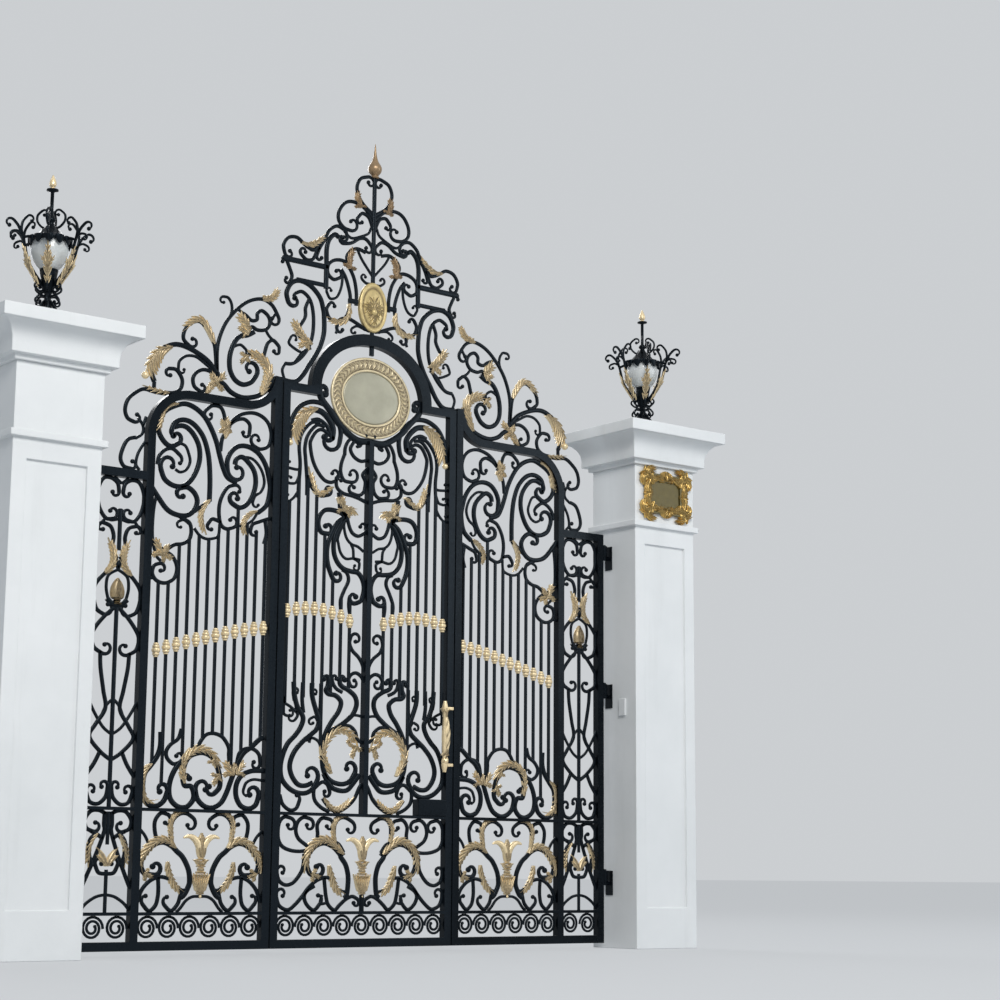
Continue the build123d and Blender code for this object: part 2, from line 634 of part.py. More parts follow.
side_panel = [
    scroll([(12, 2290), (22, 2330), (60, 2352), (100, 2345), (125, 2300), (130, 2250),
            (115, 2190), (80, 2145), (45, 2145)], start=(24, 200), end=(34, 260)),
    scroll([(0, 2150), (45, 2138), (80, 2142), (110, 2110), (132, 2090)], width=fine_width),
    scroll([(0, 2330), (40, 2360)], width=fine_width),
    scroll([(0, 2195), (12, 2190), (20, 2165)], width=fine_width),
    scroll([(0, 1900), (20, 1960), (36, 2010), (32, 2060), (50, 2105), (90, 2120)],
           end=(24, 240)),
    scroll([(10, 1960), (40, 1900), (95, 1845), (126, 1800), (130, 1750), (112, 1690),
            (80, 1668)], end=(42, 220)),
    scroll([(8, 1705), (60, 1660), (110, 1600), (130, 1555), (118, 1500), (75, 1472)],
           end=(38, 260)),
    scroll([(50, 1745), (62, 1800), (52, 1860), (0, 1893)], width=fine_width),
    scroll([(0, 1712), (30, 1722), (56, 1745)], width=heavy_width),
    scroll([(80, 1480), (75, 1400), (55, 1290), (40, 1200), (90, 1120), (120, 1060),
            (60, 990), (0, 950)], width=scroll_width),
    scroll([(133, 1240), (100, 1180), (50, 1110), (0, 1075)], width=fine_width),
    scroll([(0, 1250), (36, 1215), (60, 1160)], width=fine_width),
    scroll([(60, 990), (90, 930), (133, 870)], width=scroll_width),
    scroll([(10, 820), (20, 770), (60, 736), (105, 745), (125, 790)], start=(24, 240),
           end=(30, 260)),
    [block(-bar / 2, bar / 2, lock_rail, 1716)],
    [block(-bar / 2, bar / 2, 1990, 2200)],
]
side_panel_low = [
    scroll([(20, 700), (22, 640), (20, 600), (60, 490), (100, 400), (133, 330)],
           width=scroll_width),
    scroll([(18, 690), (50, 704), (95, 700), (126, 660), (118, 620), (86, 604)],
           end=(32, 220)),
    scroll([(60, 590), (90, 560), (100, 500), (82, 440)], width=heavy_width),
    scroll([(92, 604), (60, 590), (28, 570)], width=scroll_width),
    scroll([(0, 400), (40, 405), (60, 440)], end=(26, 250)),
    scroll([(0, 300), (50, 290), (100, 260), (133, 225)], width=fine_width),
    [block(-6, 6, lower_rail, 420)],
    [block(-6, 6, 540, lock_rail)],
    scroll([(82, 440), (100, 400)], width=fine_width),
]

# Crest

crest = [
    scroll([(4, 4040), (19, 4052), (71, 4087), (106, 4130), (119, 4183), (97, 4235),
            (45, 4257)], end=(33, 300)),
    scroll([(4, 4010), (20, 4030), (80, 4078), (149, 4091), (201, 4070), (236, 4017),
            (236, 3965), (201, 3930), (158, 3922)], end=(44, 260)),
    scroll([(4, 3974), (19, 3965), (36, 3930), (80, 3904), (150, 3880), (200, 3912)],
           width=fine_width),
    scroll([(10, 3960), (19, 3990), (40, 4025), (80, 4037), (108, 4010)], end=(24, 200)),
    scroll([(375, 3739), (358, 3783), (323, 3843), (297, 3896), (245, 3930), (193, 3913),
            (180, 3887)], start=(20, 200), end=(30, 220)),
    scroll([(215, 3842), (201, 3839), (149, 3852), (97, 3887), (54, 3893), (20, 3866)],
           start=(22, 200), end=(32, 260)),
    scroll([(310, 3686), (312, 3783), (297, 3843), (262, 3878), (235, 3868)],
           width=heavy_width),
    scroll([(358, 3817), (393, 3765), (430, 3770), (462, 3787), (506, 3813), (560, 3802),
            (590, 3757), (582, 3713)], end=(28, 250)),
    scroll([(358, 3783), (375, 3765), (400, 3712), (440, 3700), (474, 3722)], end=(24, 250)),
    [block(302, 592, 3672, 3692)],
    [block(302, 500, 3570, 3586)],
    [block(302, 320, 3560, 3700)],
    scroll([(570, 3676), (549, 3635), (532, 3591), (545, 3557)], start=(20, 200),
           end=(18, 220)),
    scroll([(575, 3008), (500, 3008), (450, 3050), (404, 3122), (361, 3189), (333, 3250),
            (317, 3317), (319, 3400), (325, 3440), (349, 3504), (410, 3557), (480, 3574),
            (535, 3550), (563, 3496), (555, 3452)], end=(38, 250), width=heavy_width),
    scroll([(560, 3100), (511, 3108), (455, 3155), (411, 3222), (389, 3300), (389, 3400),
            (412, 3478), (462, 3515), (505, 3500)], end=(24, 120), width=scroll_width),
    scroll([(560, 3006), (578, 3060), (560, 3100)], width=fine_width),
    scroll([(420, 3480), (440, 3430), (440, 3383), (462, 3340), (490, 3300), (470, 3262),
            (408, 3240)]),
    scroll([(460, 3176), (500, 3190), (540, 3215), (530, 3250)], end=(24, 200),
           width=fine_width),
    scroll([(400, 3210), (452, 3180), (505, 3110)], width=fine_width),
    scroll([(150, 3715), (201, 3739), (258, 3732), (298, 3700), (300, 3650), (264, 3622),
            (228, 3635)], end=(30, 220)),
    scroll([(215, 3690), (182, 3645), (152, 3557), (152, 3500), (170, 3435), (219, 3391),
            (280, 3396), (304, 3443), (288, 3478)], end=(24, 160)),
    scroll([(160, 3710), (127, 3652), (110, 3574), (110, 3500)]),
    [block(100, 160, 3512, 3530)],
    scroll([(204, 3684), (208, 3600), (236, 3530), (280, 3509), (304, 3540)], end=(22, 220),
           width=fine_width),
    scroll([(110, 3826), (80, 3774), (28, 3713), (8, 3690)], width=fine_width),
    scroll([(8, 3640), (45, 3640), (70, 3655)], end=(20, 240), width=fine_width),
    scroll([(54, 3815), (110, 3826), (160, 3800), (178, 3760), (150, 3715)]),
    scroll([(45, 3374), (114, 3404), (167, 3417), (219, 3400), (234, 3360)], end=(26, 200)),
    scroll([(60, 3378), (100, 3385), (130, 3370)], end=(20, 220), width=fine_width),
    scroll([(20, 3368), (45, 3374)], width=fine_width),
    scroll([(230, 3350), (240, 3320)], width=fine_width),
]
wing = [
    scroll([(978, 2988), (982, 3100), (968, 3180), (930, 3268), (866, 3348), (794, 3404),
            (714, 3428), (652, 3405), (612, 3350)], end=(36, 270)),
    scroll([(982, 2985), (990, 3076), (1002, 3140), (1034, 3196), (1090, 3240),
            (1146, 3220), (1178, 3180), (1184, 3132), (1154, 3104)], end=(34, 250)),
    scroll([(980, 2980), (1034, 3036), (1114, 3076), (1194, 3096), (1258, 3086),
            (1330, 3040), (1362, 2980), (1366, 2930), (1345, 2880)], width=heavy_width),
    scroll([(990, 2984), (1050, 3020), (1106, 3048), (1162, 3044), (1202, 3012),
            (1208, 2972)], end=(24, 220), width=fine_width),
    scroll([(1345, 2880), (1338, 2830), (1274, 2832), (1226, 2840), (1190, 2868),
            (1184, 2916), (1218, 2960), (1258, 2962)], end=(24, 220)),
    scroll([(1274, 2826), (1338, 2826), (1402, 2832), (1450, 2806), (1490, 2766),
            (1505, 2712), (1490, 2670), (1455, 2655)], end=(30, 200)),
    scroll([(985, 2975), (1050, 2988), (1098, 2968), (1120, 2932), (1112, 2892),
            (1082, 2872)], end=(26, 220)),
    scroll([(978, 2985), (960, 2945), (930, 2924), (890, 2892), (826, 2874), (754, 2886),
            (698, 2914), (655, 2958), (620, 3010)], width=heavy_width),
    scroll([(760, 3240), (800, 3215), (842, 3204), (874, 3172), (898, 3116), (906, 3060),
            (898, 3004), (866, 2960), (818, 2944), (770, 2964), (740, 3004)],
           end=(48, 300), width=heavy_width),
    scroll([(896, 3120), (880, 3140), (842, 3156), (812, 3140)], end=(20, 200),
           width=fine_width),
    scroll([(655, 2960), (652, 3040), (700, 3100), (740, 3120), (790, 3110), (834, 3060)],
           width=scroll_width),
    scroll([(830, 3330), (810, 3320), (778, 3300), (745, 3310), (742, 3345), (714, 3364),
            (674, 3340), (664, 3300), (690, 3264), (738, 3254), (778, 3264), (800, 3215)],
           width=scroll_width),
    scroll([(914, 3290), (900, 3330), (904, 3370), (924, 3398), (952, 3400)], end=(22, 220),
           width=fine_width),
    scroll([(664, 3300), (650, 3330), (625, 3370)], width=fine_width),
    scroll([(700, 3100), (688, 3150), (672, 3195), (640, 3214), (606, 3190)], end=(32, 220)),
    scroll([(690, 3264), (668, 3235), (640, 3214)], width=fine_width),
    scroll([(830, 3330), (866, 3348)], width=fine_width),
    scroll([(1430, 2680), (1400, 2640), (1402, 2600), (1440, 2570)], width=fine_width),
    scroll([(1384, 2690), (1400, 2640)], width=fine_width),
    scroll([(1440, 2575), (1480, 2560), (1505, 2520), (1520, 2460), (1500, 2420),
            (1460, 2412)], end=(26, 200)),
    scroll([(1384, 2560), (1420, 2500), (1432, 2440), (1410, 2410)], width=fine_width),
]


gilded_upper_centre = [
    ((425, 2800), 75, 210, -28),
    ((318, 2432), 150, 34, 20),
    ((126, 2362), 150, 60, 30),
]
gilded_lower_centre = [
    ((238, 1040), 60, 190, 5),
    ((136, 1152), 150, 64, -8),
    ((168, 764), 150, 34, 0),
]
gilded_low_centre = [
    ((250, 556), 170, 60, 8),
    ((345, 470), 52, 130, 12),
    ((170, 640), 26, 110, 0),
    ((172, 370), 30, 110, 35),
]
gilded_side = [
    ((918, 2718), 96, 90, 20),
    ((1275, 2700), 40, 130, 25),
    ((765, 2225), 40, 130, 35),
    ((1050, 2225), 40, 130, 30),
    ((1290, 2000), 34, 130, -10),
    ((1000, 998), 170, 54, 8),
    ((1092, 920), 50, 110, 0),
    ((846, 940), 70, 70, 0),
    ((758, 945), 70, 66, 0),
    ((1318, 830), 30, 150, 0),
]
gilded_side_low = [
    ((232, 560), 150, 56, -8),
    ((335, 470), 50, 120, -10),
    ((175, 640), 28, 120, 0),
    ((150, 375), 30, 120, -35),
]
gilded_wing = [
    ((1325, 3010), 50, 170, -24),
    ((1388, 2926), 44, 36, 0),
    ((1100, 3236), 120, 30, 0),
    ((690, 3030), 60, 180, 20),
    ((770, 3115), 110, 40, 0),
    ((955, 2955), 80, 60, -30),
    ((830, 3270), 60, 110, 30),
    ((668, 3440), 90, 30, -10),
    ((1330, 2832), 110, 24, 0),
]
gilded_crest = [
    ((480, 3285), 70, 90, 30),
    ((225, 3425), 110, 34, -30),
    ((165, 3765), 46, 90, -20),
    ((405, 3812), 110, 28, 25),
    ((95, 4085), 60, 90, 20),
]


def leaf_outline(middle, wide, high, lean):
    """A pointed leaf with lobed edges, leaning by an angle."""
    lobes = ((0.0, 0.5), (0.36, 0.24), (0.3, 0.14), (0.5, -0.04), (0.3, -0.3), (0.0, -0.5))
    right = [(x * wide, y * high) for x, y in lobes]
    left = [(-x * wide, y * high) for x, y in reversed(lobes[1:-1])]
    return Pos(*middle) * (Rot(0, 0, lean) * make_face(Polyline(*right, *left, close=True)))


def gilding(specs):
    return merged([leaf_outline(*spec) for spec in specs])


def bars_between(places, low, high, iron, at):
    """Upright bars, each trimmed to the run that passes its collar."""
    kept = []
    for place, height in zip(places, at):
        pieces = (block(place - bar / 2, place + bar / 2, low, high) - iron).faces()
        for piece in pieces:
            box = piece.bounding_box()
            if box.min.Y < height < box.max.Y:
                kept.append(piece)
    return merged(kept)


def collar():
    """A turned bead with a hole for its bar, about the Z axis."""
    half = collar_height / 2
    bead = spun([(collar_waist, -half), (collar_radius, 0), (collar_waist, half)],
                collar_sides)
    return bead - Box(bar, bar, 2 * collar_height)


def ring_row(first, last, count):
    """A row of whorls, each a bar that winds in from the rim to its eye."""
    pitch = (last - first) / count
    middle = (bottom_rail + lower_rail - thin_rail) / 2
    radius = (lower_rail - thin_rail - bottom_rail) / 2 - fine_width / 2 + ring_bite
    faces = []
    for k in range(count):
        place = first + (k + 0.5) * pitch
        start = (place - radius, middle)
        run = [start] + curl(start, math.pi / 2, radius, whorl_turn, -1, fine_width)
        faces.append(strip(run, [fine_width] * len(run)))
        faces.append(Pos(*run[-1]) * RegularPolygon(eye_share * fine_width, 6))
    return faces


def upright_pin(radius, low, high):
    return Pos(0, 0, (low + high) / 2) * Cylinder(radius, high - low)


def span(x0, x1, y0, y1, z0, z1):
    """A straight-sided block between limits."""
    return Pos((x0 + x1) / 2, (y0 + y1) / 2, (z0 + z1) / 2) * Box(x1 - x0, y1 - y0, z1 - z0)


# Pillar hinges

def hinge_rings():
    """Knuckles that stand off the outer stile on lugs."""
    parts = []
    for low in hinge_heights:
        ring = upright_pin(knuckle_radius, low, low + knuckle_height)
        ring = ring - upright_pin(pin_radius + pin_fit, low - 1, low + knuckle_height + 1)
        wall = hinge_line - (knuckle_radius + pin_radius) / 2
        parts.append(Pos(hinge_line, 0, 0) * ring
                     + span(leaf_reach, wall, -bar / 2, bar / 2, low, low + knuckle_height))
    return parts


def hinge_pins():
    """Brackets on the pillar, each with a pin that stands up through a knuckle."""
    parts = []
    for low in hinge_heights:
        top = low - hinge_gap
        plate = span(pillar_face - 6, pillar_face, -30, 30, top - 80, top + 60)
        arm = span(hinge_line, pillar_face, -knuckle_radius / 2, knuckle_radius / 2,
                   top - 24, top)
        end = Pos(hinge_line, 0, 0) * upright_pin(knuckle_radius / 2 + 5, top - 24, top)
        pin = Pos(hinge_line, 0, 0) * upright_pin(pin_radius, top - 24,
                                                  low + knuckle_height + 8)
        parts.append(plate + arm + end + pin)
    return parts


# Seam hinges, on the backs of the stiles

seam_line = centre_half + seam_gap / 2
seam_back = tube / 2 + seam_knuckle + 0.5
seam_half = 40.0


def seam_plate(way, low):
    """The leaf of a seam hinge, toward or away from the middle, with its solid barrel."""
    far = seam_line + way * seam_half
    plate = span(min(seam_line, far), max(seam_line, far), tube / 2,
                 tube / 2 + seam_leaf_thick, low, low + seam_half)
    return plate + Pos(seam_line, seam_back, 0) * upright_pin(seam_knuckle, low,
                                                              low + seam_half)


def seam_lower(low):
    pin = Pos(seam_line, seam_back, 0) * upright_pin(seam_pin, low,
                                                     low + 2 * seam_half + hinge_gap + 6)
    return seam_plate(1, low) + pin


def seam_upper(low):
    up = low + seam_half + hinge_gap
    bore = Pos(seam_line, seam_back, 0) * upright_pin(seam_pin + pin_fit, low, up + 2 * seam_half)
    return seam_plate(-1, up) - bore


# Side leaves

def gild(shape):
    """Gilded leaves laid just off both faces of the ironwork."""
    lift = scroll_depth / 2 + seat
    front = upright(shape, leaf_thick, front=-lift - leaf_thick)
    return front + upright(shape, leaf_thick, front=lift)


side_frame = side_frame_outline()
side_upper_iron = within(merged(flat(side_upper)), side_field)
side_middle_iron = within(merged(flat(side_middle)), side_field)
side_places = [side_last_bar - k * side_pitch for k in range(side_bars)]
side_heights = [side_collar_in + (side_collar_out - side_collar_in)
                * ((place - side_first) / (post_in - side_first)) ** side_collar_bend
                for place in side_places]
side_rods = bars_between(side_places, lock_rail, rods_reach,
                         side_upper_iron + side_middle_iron, side_heights)
wing_field = block(side_inner + seam_gap, leaf_reach, panel_top, 4000)
wing_iron = within(merged(flat(wing)), wing_field) - side_frame - side_field
panel_iron = within(beside(flat(side_panel), panel_mid), panel_field) + within(
    beside(flat(side_panel_low), panel_mid), panel_low_field)
side_leaves = gilding(gilded_side + gilded_wing) + beside(
    [leaf_outline(*spec) for spec in gilded_side_low], side_mid) - side_frame
side_rings = within(merged(ring_row(side_first, post_in, 6)), side_ring_field) + within(
    merged(ring_row(post_out, outer_first, 2)), panel_ring_field)
side_shapes = {
    "leaf_bars": upright(side_rods, bar),
    "leaf_collars": [Pos(place, 0, height) * collar()
                     for place, height in zip(side_places, side_heights)],
    "leaf_upper_scrolls": upright(side_upper_iron, scroll_depth),
    "leaf_lower_scrolls": upright(side_middle_iron, scroll_depth),
    "leaf_panel_scrolls": upright(within(beside(flat(side_low), side_mid), side_low_field),
                                  scroll_depth),
    "leaf_whorl_band": upright(side_rings, scroll_depth),
    "leaf_crest": upright(wing_iron, scroll_depth),
    "side_panel_scrolls": upright(panel_iron, scroll_depth),
    "leaf_gilding": gild(side_leaves),
}
side_body = upright(side_frame, tube)
for ring in hinge_rings():
    side_body = side_body + ring
for side, word in ((1, "right"), (-1, "left")):
    body = side_body
    if side < 0:
        for low in seam_hinges:
            body = body + seam_lower(low)
    hang(handed(body, side), word + "_leaf_frame")
    for name, shape in side_shapes.items():
        if isinstance(shape, list):
            shape = Compound(children=shape)
        hang(handed(shape, side), word + "_" + name)

# Centre leaf

centre_post = block(-centre_bar / 2, centre_bar / 2, lock_rail,
                    medallion_height - medallion_half[1] - medallion_rim + 1)
centre_frame = centre_frame_outline() + centre_post
centre_rim = rim_outline - ring_outline
upper_faces = within(both_ways(flat(centre_upper) + flat(medallion_loops)), centre_field)
centre_upper_iron = (upper_faces - ring_outline - centre_post) + (centre_rim - centre_post)
lock_seat = block(lock_out[0], lock_out[1], lock_rail, lock_up)
centre_middle_iron = within(both_ways(flat(centre_middle)), centre_field)
centre_middle_iron = centre_middle_iron - centre_post - lock_seat
centre_low_iron = both_ways(flat(centre_low)) + merged(flat(centre_vase))
centre_low_iron = within(centre_low_iron, centre_low_field)
half_places = [first_bar - k * bar_pitch for k in range(half_bars)]
centre_places = half_places + [-place for place in half_places]
centre_heights = [centre_collar_top - centre_collar_fall * (abs(place) - centre_collar_peak) ** 2
                  for place in centre_places]
centre_rods = bars_between(centre_places, lock_rail, rods_reach,
                           centre_upper_iron + centre_middle_iron + lock_seat,
                           centre_heights)
cartouche = ellipse_at(cartouche_half, cartouche_height)
cartouche_hole = ellipse_at(grown(cartouche_half, seat), cartouche_height)
stem = block(-spindle / 2, spindle / 2, shoulder_top + arch_rise, finial_seat)
crest_field = merged([block(-centre_half, centre_half, shoulder_top, crest_step),
                      block(-arch_half * 2, arch_half * 2, crest_step, finial_seat - seat)])
crest_iron = within(both_ways(flat(crest)), crest_field) + stem
crest_iron = crest_iron - cartouche_hole - centre_frame
crest_iron = crest_iron - arch_hole
centre_leaves = both_ways([leaf_outline(*spec) for spec in gilded_upper_centre
                           + gilded_lower_centre + gilded_low_centre + gilded_crest])
centre_leaves = centre_leaves - centre_frame - ring_outline - cartouche_hole - lock_seat

centre_body = upright(centre_frame, tube)
for low in seam_hinges:
    centre_body = centre_body + mirror(seam_upper(low), Plane.YZ)
hang(centre_body, "centre_leaf_frame")
hang(upright(centre_rods, bar), "centre_leaf_bars")
hang(Compound(children=[Pos(place, 0, height) * collar()
                        for place, height in zip(centre_places, centre_heights)]),
     "centre_leaf_collars")
hang(upright(centre_upper_iron, scroll_depth), "centre_upper_scrolls")
hang(upright(centre_middle_iron, scroll_depth), "centre_lower_scrolls")
hang(upright(centre_low_iron, scroll_depth), "centre_panel_scrolls")
centre_rings = within(merged(ring_row(-centre_inner, centre_inner, 9)), centre_ring_field)
hang(upright(centre_rings, scroll_depth), "centre_whorl_band")
hang(upright(crest_iron, scroll_depth), "centre_crest")
hang(gild(centre_leaves), "centre_leaf_gilding")
ring = ellipse_at(grown(medallion_half, -seat), medallion_height) - disc_outline
hang(upright(ring, medallion_depth), "medallion_ring")
hang(upright(ellipse_at(grown(disc_half, -seat), medallion_height), disc_depth),
     "medallion_disc")
hang(upright(cartouche, cartouche_depth), "crest_cartouche")
hang(span(lock_out[0], lock_out[1], -lock_depth / 2, lock_depth / 2, lock_rail, lock_up),
     "lock_box")


hang(Pos(0, 0, finial_seat) * spun(finial), "crest_finial")
grip = [(handle_radius * 0.5, handle_low), (handle_radius, handle_low + 40),
        (handle_radius * 0.6, handle_low + 80), (handle_radius, handle_low + 190),
        (handle_radius * 0.6, handle_high - 80), (handle_radius, handle_high - 40),
        (handle_radius * 0.5, handle_high)]
pull = Pos(handle_out, -handle_reach, 0) * spun(grip)
for level in (handle_low + 40, handle_high - 40):
    pull = pull + span(handle_out, centre_inner + tube / 2, -handle_reach - 6,
                       -handle_reach + 6, level - 8, level + 8)
    pull = pull + span(centre_inner + tube / 2 - 14, centre_inner + tube / 2,
                       -handle_reach - 6, -tube / 2, level - 8, level + 8)
hang(pull, "pull_handle")

# Pillars and caps

def pillar():
    shaft = Pos(pillar_middle, 0, pillar_height / 2) * Box(pillar_width, pillar_deep,
                                                          pillar_height)
    band = Pos(pillar_middle, 0, band_height) * Box(pillar_width + 2 * band_out,
                                                    pillar_deep + 2 * band_out, band_thick)
    recess = span(pillar_face + panel_margin, pillar_face + pillar_width - panel_margin,
                  pillar_front - 1, pillar_front + panel_recess, panel_low, panel_high)
    behind = span(pillar_face + panel_margin, pillar_face + pillar_width - panel_margin,
                  pillar_back - panel_recess, pillar_back + 1, panel_low, panel_high)
    return shaft + band - recess - behind


def cap():
    """The moulded cap, as the solid common to a long moulding and one across it."""
    def moulding(half):
        steps = [(half + out, up) for out, up in cap_profile]
        steps.append((steps[-1][0], cap_top - pillar_height))
        back = [(-out, up) for out, up in reversed(steps)]
        return make_face(Polyline(*steps, *back, close=True))
    far = 4 * pillar_width
    across = Plane.XZ * extrude(moulding(pillar_width / 2), far, both=True)
    along = Plane.YZ * extrude(moulding(pillar_deep / 2), far, both=True)
    return Pos(pillar_middle, 0, pillar_height) * (across & along)


# Lanterns

lantern_rib = [
    scroll([(20, 192), (42, 218), (84, 268), (122, 330), (138, 390), (150, 435), (172, 480),
            (196, 505)], end=(30, 210), width=lantern_bar),
    scroll([(146, 425), (156, 470), (150, 510), (128, 540)], end=(22, 200),
           width=lantern_bar),
    scroll([(150, 440), (176, 456), (200, 452)], end=(18, 230), width=lantern_bar),
    scroll([(98, 440), (120, 438), (146, 428)], width=lantern_bar),
    scroll([(22, 180), (46, 172), (66, 186)], end=(18, 210), width=lantern_bar),
    scroll([(12, 150), (44, 154), (62, 136)], end=(18, 220), width=lantern_bar),
    scroll([(12, 132), (36, 100), (58, 70), (72, 4)], width=lantern_bar),
]
lantern_top = [
    scroll([(60, 448), (78, 500), (76, 550), (64, 590), (42, 604)], end=(22, 230),
           width=lantern_bar),
    scroll([(9, 570), (24, 590), (40, 604)], width=lantern_bar),
]


def lantern_frame():
    body = spun(lantern_foot) + spun(lantern_roof)
    for k in range(lantern_ribs):
        body = body + Rot(0, 0, k * 360 / lantern_ribs) * upright(merged(flat(lantern_rib)),
                                                                  lantern_iron)
    for k in range(4):
        body = body + Rot(0, 0, 45 + k * 90) * upright(merged(flat(lantern_top)), lantern_iron)
    return body


def plaque():
    outline = (Rectangle(*plaque_size)
               - [Pos(sign * plaque_size[0] / 2, 0) * Ellipse(16, plaque_size[1] / 3)
                  for sign in (1, -1)])
    body = extrude(outline, plaque_depth)
    body = body - Pos(0, 0, plaque_depth - plaque_sink) * extrude(Rectangle(*plaque_field),
                                                                 plaque_depth)
    return Pos(pillar_middle, pillar_front, plaque_height) * (Plane.XZ * body)


lantern = lantern_frame()
globe = spun(lantern_globe)
for side, word in ((1, "right"), (-1, "left")):
    save(handed(pillar(), side), word + "_pillar")
    save(handed(cap(), side), word + "_pillar_cap")
    hang(handed(Compound(children=hinge_pins()), side), word + "_hinge_pins")
    place = Pos(side * pillar_middle, 0, cap_top)
    save(place * lantern, word + "_lantern_frame")
    save(place * globe, word + "_lantern_globe")
save(plaque(), "number_plaque")
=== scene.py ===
import math

import bmesh
import bpy
from mathutils import Matrix, Vector


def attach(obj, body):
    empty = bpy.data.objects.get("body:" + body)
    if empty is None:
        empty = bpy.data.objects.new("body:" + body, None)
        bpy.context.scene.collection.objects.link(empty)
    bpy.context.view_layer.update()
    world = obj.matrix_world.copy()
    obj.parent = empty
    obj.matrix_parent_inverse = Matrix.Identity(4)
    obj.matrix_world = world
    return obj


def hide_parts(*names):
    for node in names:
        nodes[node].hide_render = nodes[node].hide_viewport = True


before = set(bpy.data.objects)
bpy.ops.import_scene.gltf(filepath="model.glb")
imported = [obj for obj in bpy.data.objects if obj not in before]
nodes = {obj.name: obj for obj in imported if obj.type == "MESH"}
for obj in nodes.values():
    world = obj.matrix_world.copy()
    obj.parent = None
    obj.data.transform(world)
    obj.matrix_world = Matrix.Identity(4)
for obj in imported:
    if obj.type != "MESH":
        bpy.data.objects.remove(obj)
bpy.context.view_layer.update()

# Looks of a wrought iron driveway gate. Traced shapes are out,up in millimetres, from the
# middle of the gate or of a panel and from the ground, unless their heading says otherwise.
# Places on the stage are in metres.

scene = bpy.context.scene
mm = 0.001
leafPlane = 0.045
hung = Matrix.Translation((0, leafPlane, 0))


# Nodes

def feed(tree, source, socket):
    """Gives a socket a constant, the first output of a node, or another socket."""
    if isinstance(source, bpy.types.Node):
        source = source.outputs[0]
    if isinstance(source, bpy.types.NodeSocket):
        tree.links.new(source, socket)
    else:
        socket.default_value = (*source, 1) if socket.type == "RGBA" else source


def addNode(tree, kind, *sources, **values):
    """A node whose first inputs are fed in order and others by name, after its settings,
    whose names start with a small letter."""
    node = tree.nodes.new(kind)
    for key in [key for key in values if key[0].islower()]:
        setattr(node, key, values.pop(key))
    for key, source in [*enumerate(sources), *values.items()]:
        feed(tree, source, node.inputs[key])
    return node


def sumOf(tree, operation, *sources):
    return addNode(tree, "ShaderNodeMath", *sources, operation=operation)


def noiseAt(tree, scale, detail=4.0, roughness=0.6, stretch=(1, 1, 1)):
    coords = addNode(tree, "ShaderNodeTexCoord").outputs["Object"]
    mapping = addNode(tree, "ShaderNodeMapping", coords, Scale=stretch)
    return addNode(tree, "ShaderNodeTexNoise", mapping, Scale=scale, Detail=detail,
                   Roughness=roughness)


def rampOf(tree, source, low, high, *colours):
    """Goes from one colour or grey to another between two levels of the source."""
    ramp = addNode(tree, "ShaderNodeValToRGB", source)
    for stop, level, colour in zip(ramp.color_ramp.elements, (low, high), colours):
        stop.position = level
        stop.color = (*(colour if isinstance(colour, tuple) else (colour,) * 3), 1)
    return ramp


def mixOf(tree, amount, first, second):
    mix = addNode(tree, "ShaderNodeMix", amount, data_type="RGBA")
    feed(tree, first, mix.inputs[6])
    feed(tree, second, mix.inputs[7])
    return mix.outputs[2]


def bumpsOf(tree, *layers):
    """Bumps one on the other, each from (source, strength, distance in metres)."""
    last = None
    for source, strength, distance in layers:
        bump = addNode(tree, "ShaderNodeBump", Strength=strength, Distance=distance,
                       Height=source)
        if last:
            feed(tree, last, bump.inputs["Normal"])
        last = bump
    return last


# Materials

def newMaterial(name, look, **choices):
    """A material whose shader takes each input that look gives by name."""
    material = bpy.data.materials.new(name)
    material.use_nodes = True
    tree = material.node_tree
    shader = tree.nodes["Principled BSDF"]
    for key, source in look(tree, **choices).items():
        feed(tree, source, shader.inputs[key])
    return material


def ironLook(tree):
    geometry = addNode(tree, "ShaderNodeNewGeometry")
    base = rampOf(tree, noiseAt(tree, 9.0), 0.35, 0.7, (0.0012, 0.0019, 0.003),
                  (0.0035, 0.005, 0.0072))
    # Sharp edges are painted a lighter blue-grey: a painted highlight.
    edges = rampOf(tree, geometry.outputs["Pointiness"], 0.52, 0.6, 0.0, 0.5)
    edgeLit = mixOf(tree, edges, base, (0.010, 0.014, 0.019))
    upward = addNode(tree, "ShaderNodeSeparateXYZ", geometry.outputs["Normal"]).outputs["Z"]
    dust = sumOf(tree, "MULTIPLY", addNode(tree, "ShaderNodeMapRange", upward, 0.6, 1.0), 0.3)
    fine = noiseAt(tree, 55.0, 6.0)
    return {"Base Color": mixOf(tree, dust, edgeLit, (0.024, 0.027, 0.030)),
            "Roughness": rampOf(tree, fine, 0.3, 0.75, 0.22, 0.4),
            "Normal": bumpsOf(tree, (noiseAt(tree, 70.0, 2.0), 0.35, 0.0012),
                              (noiseAt(tree, 520.0, 3.0), 0.12, 0.0003)),
            "Specular IOR Level": 0.11, "Specular Tint": (0.62, 0.84, 1.0),
            "Coat Weight": 0.05, "Coat Roughness": 0.18}


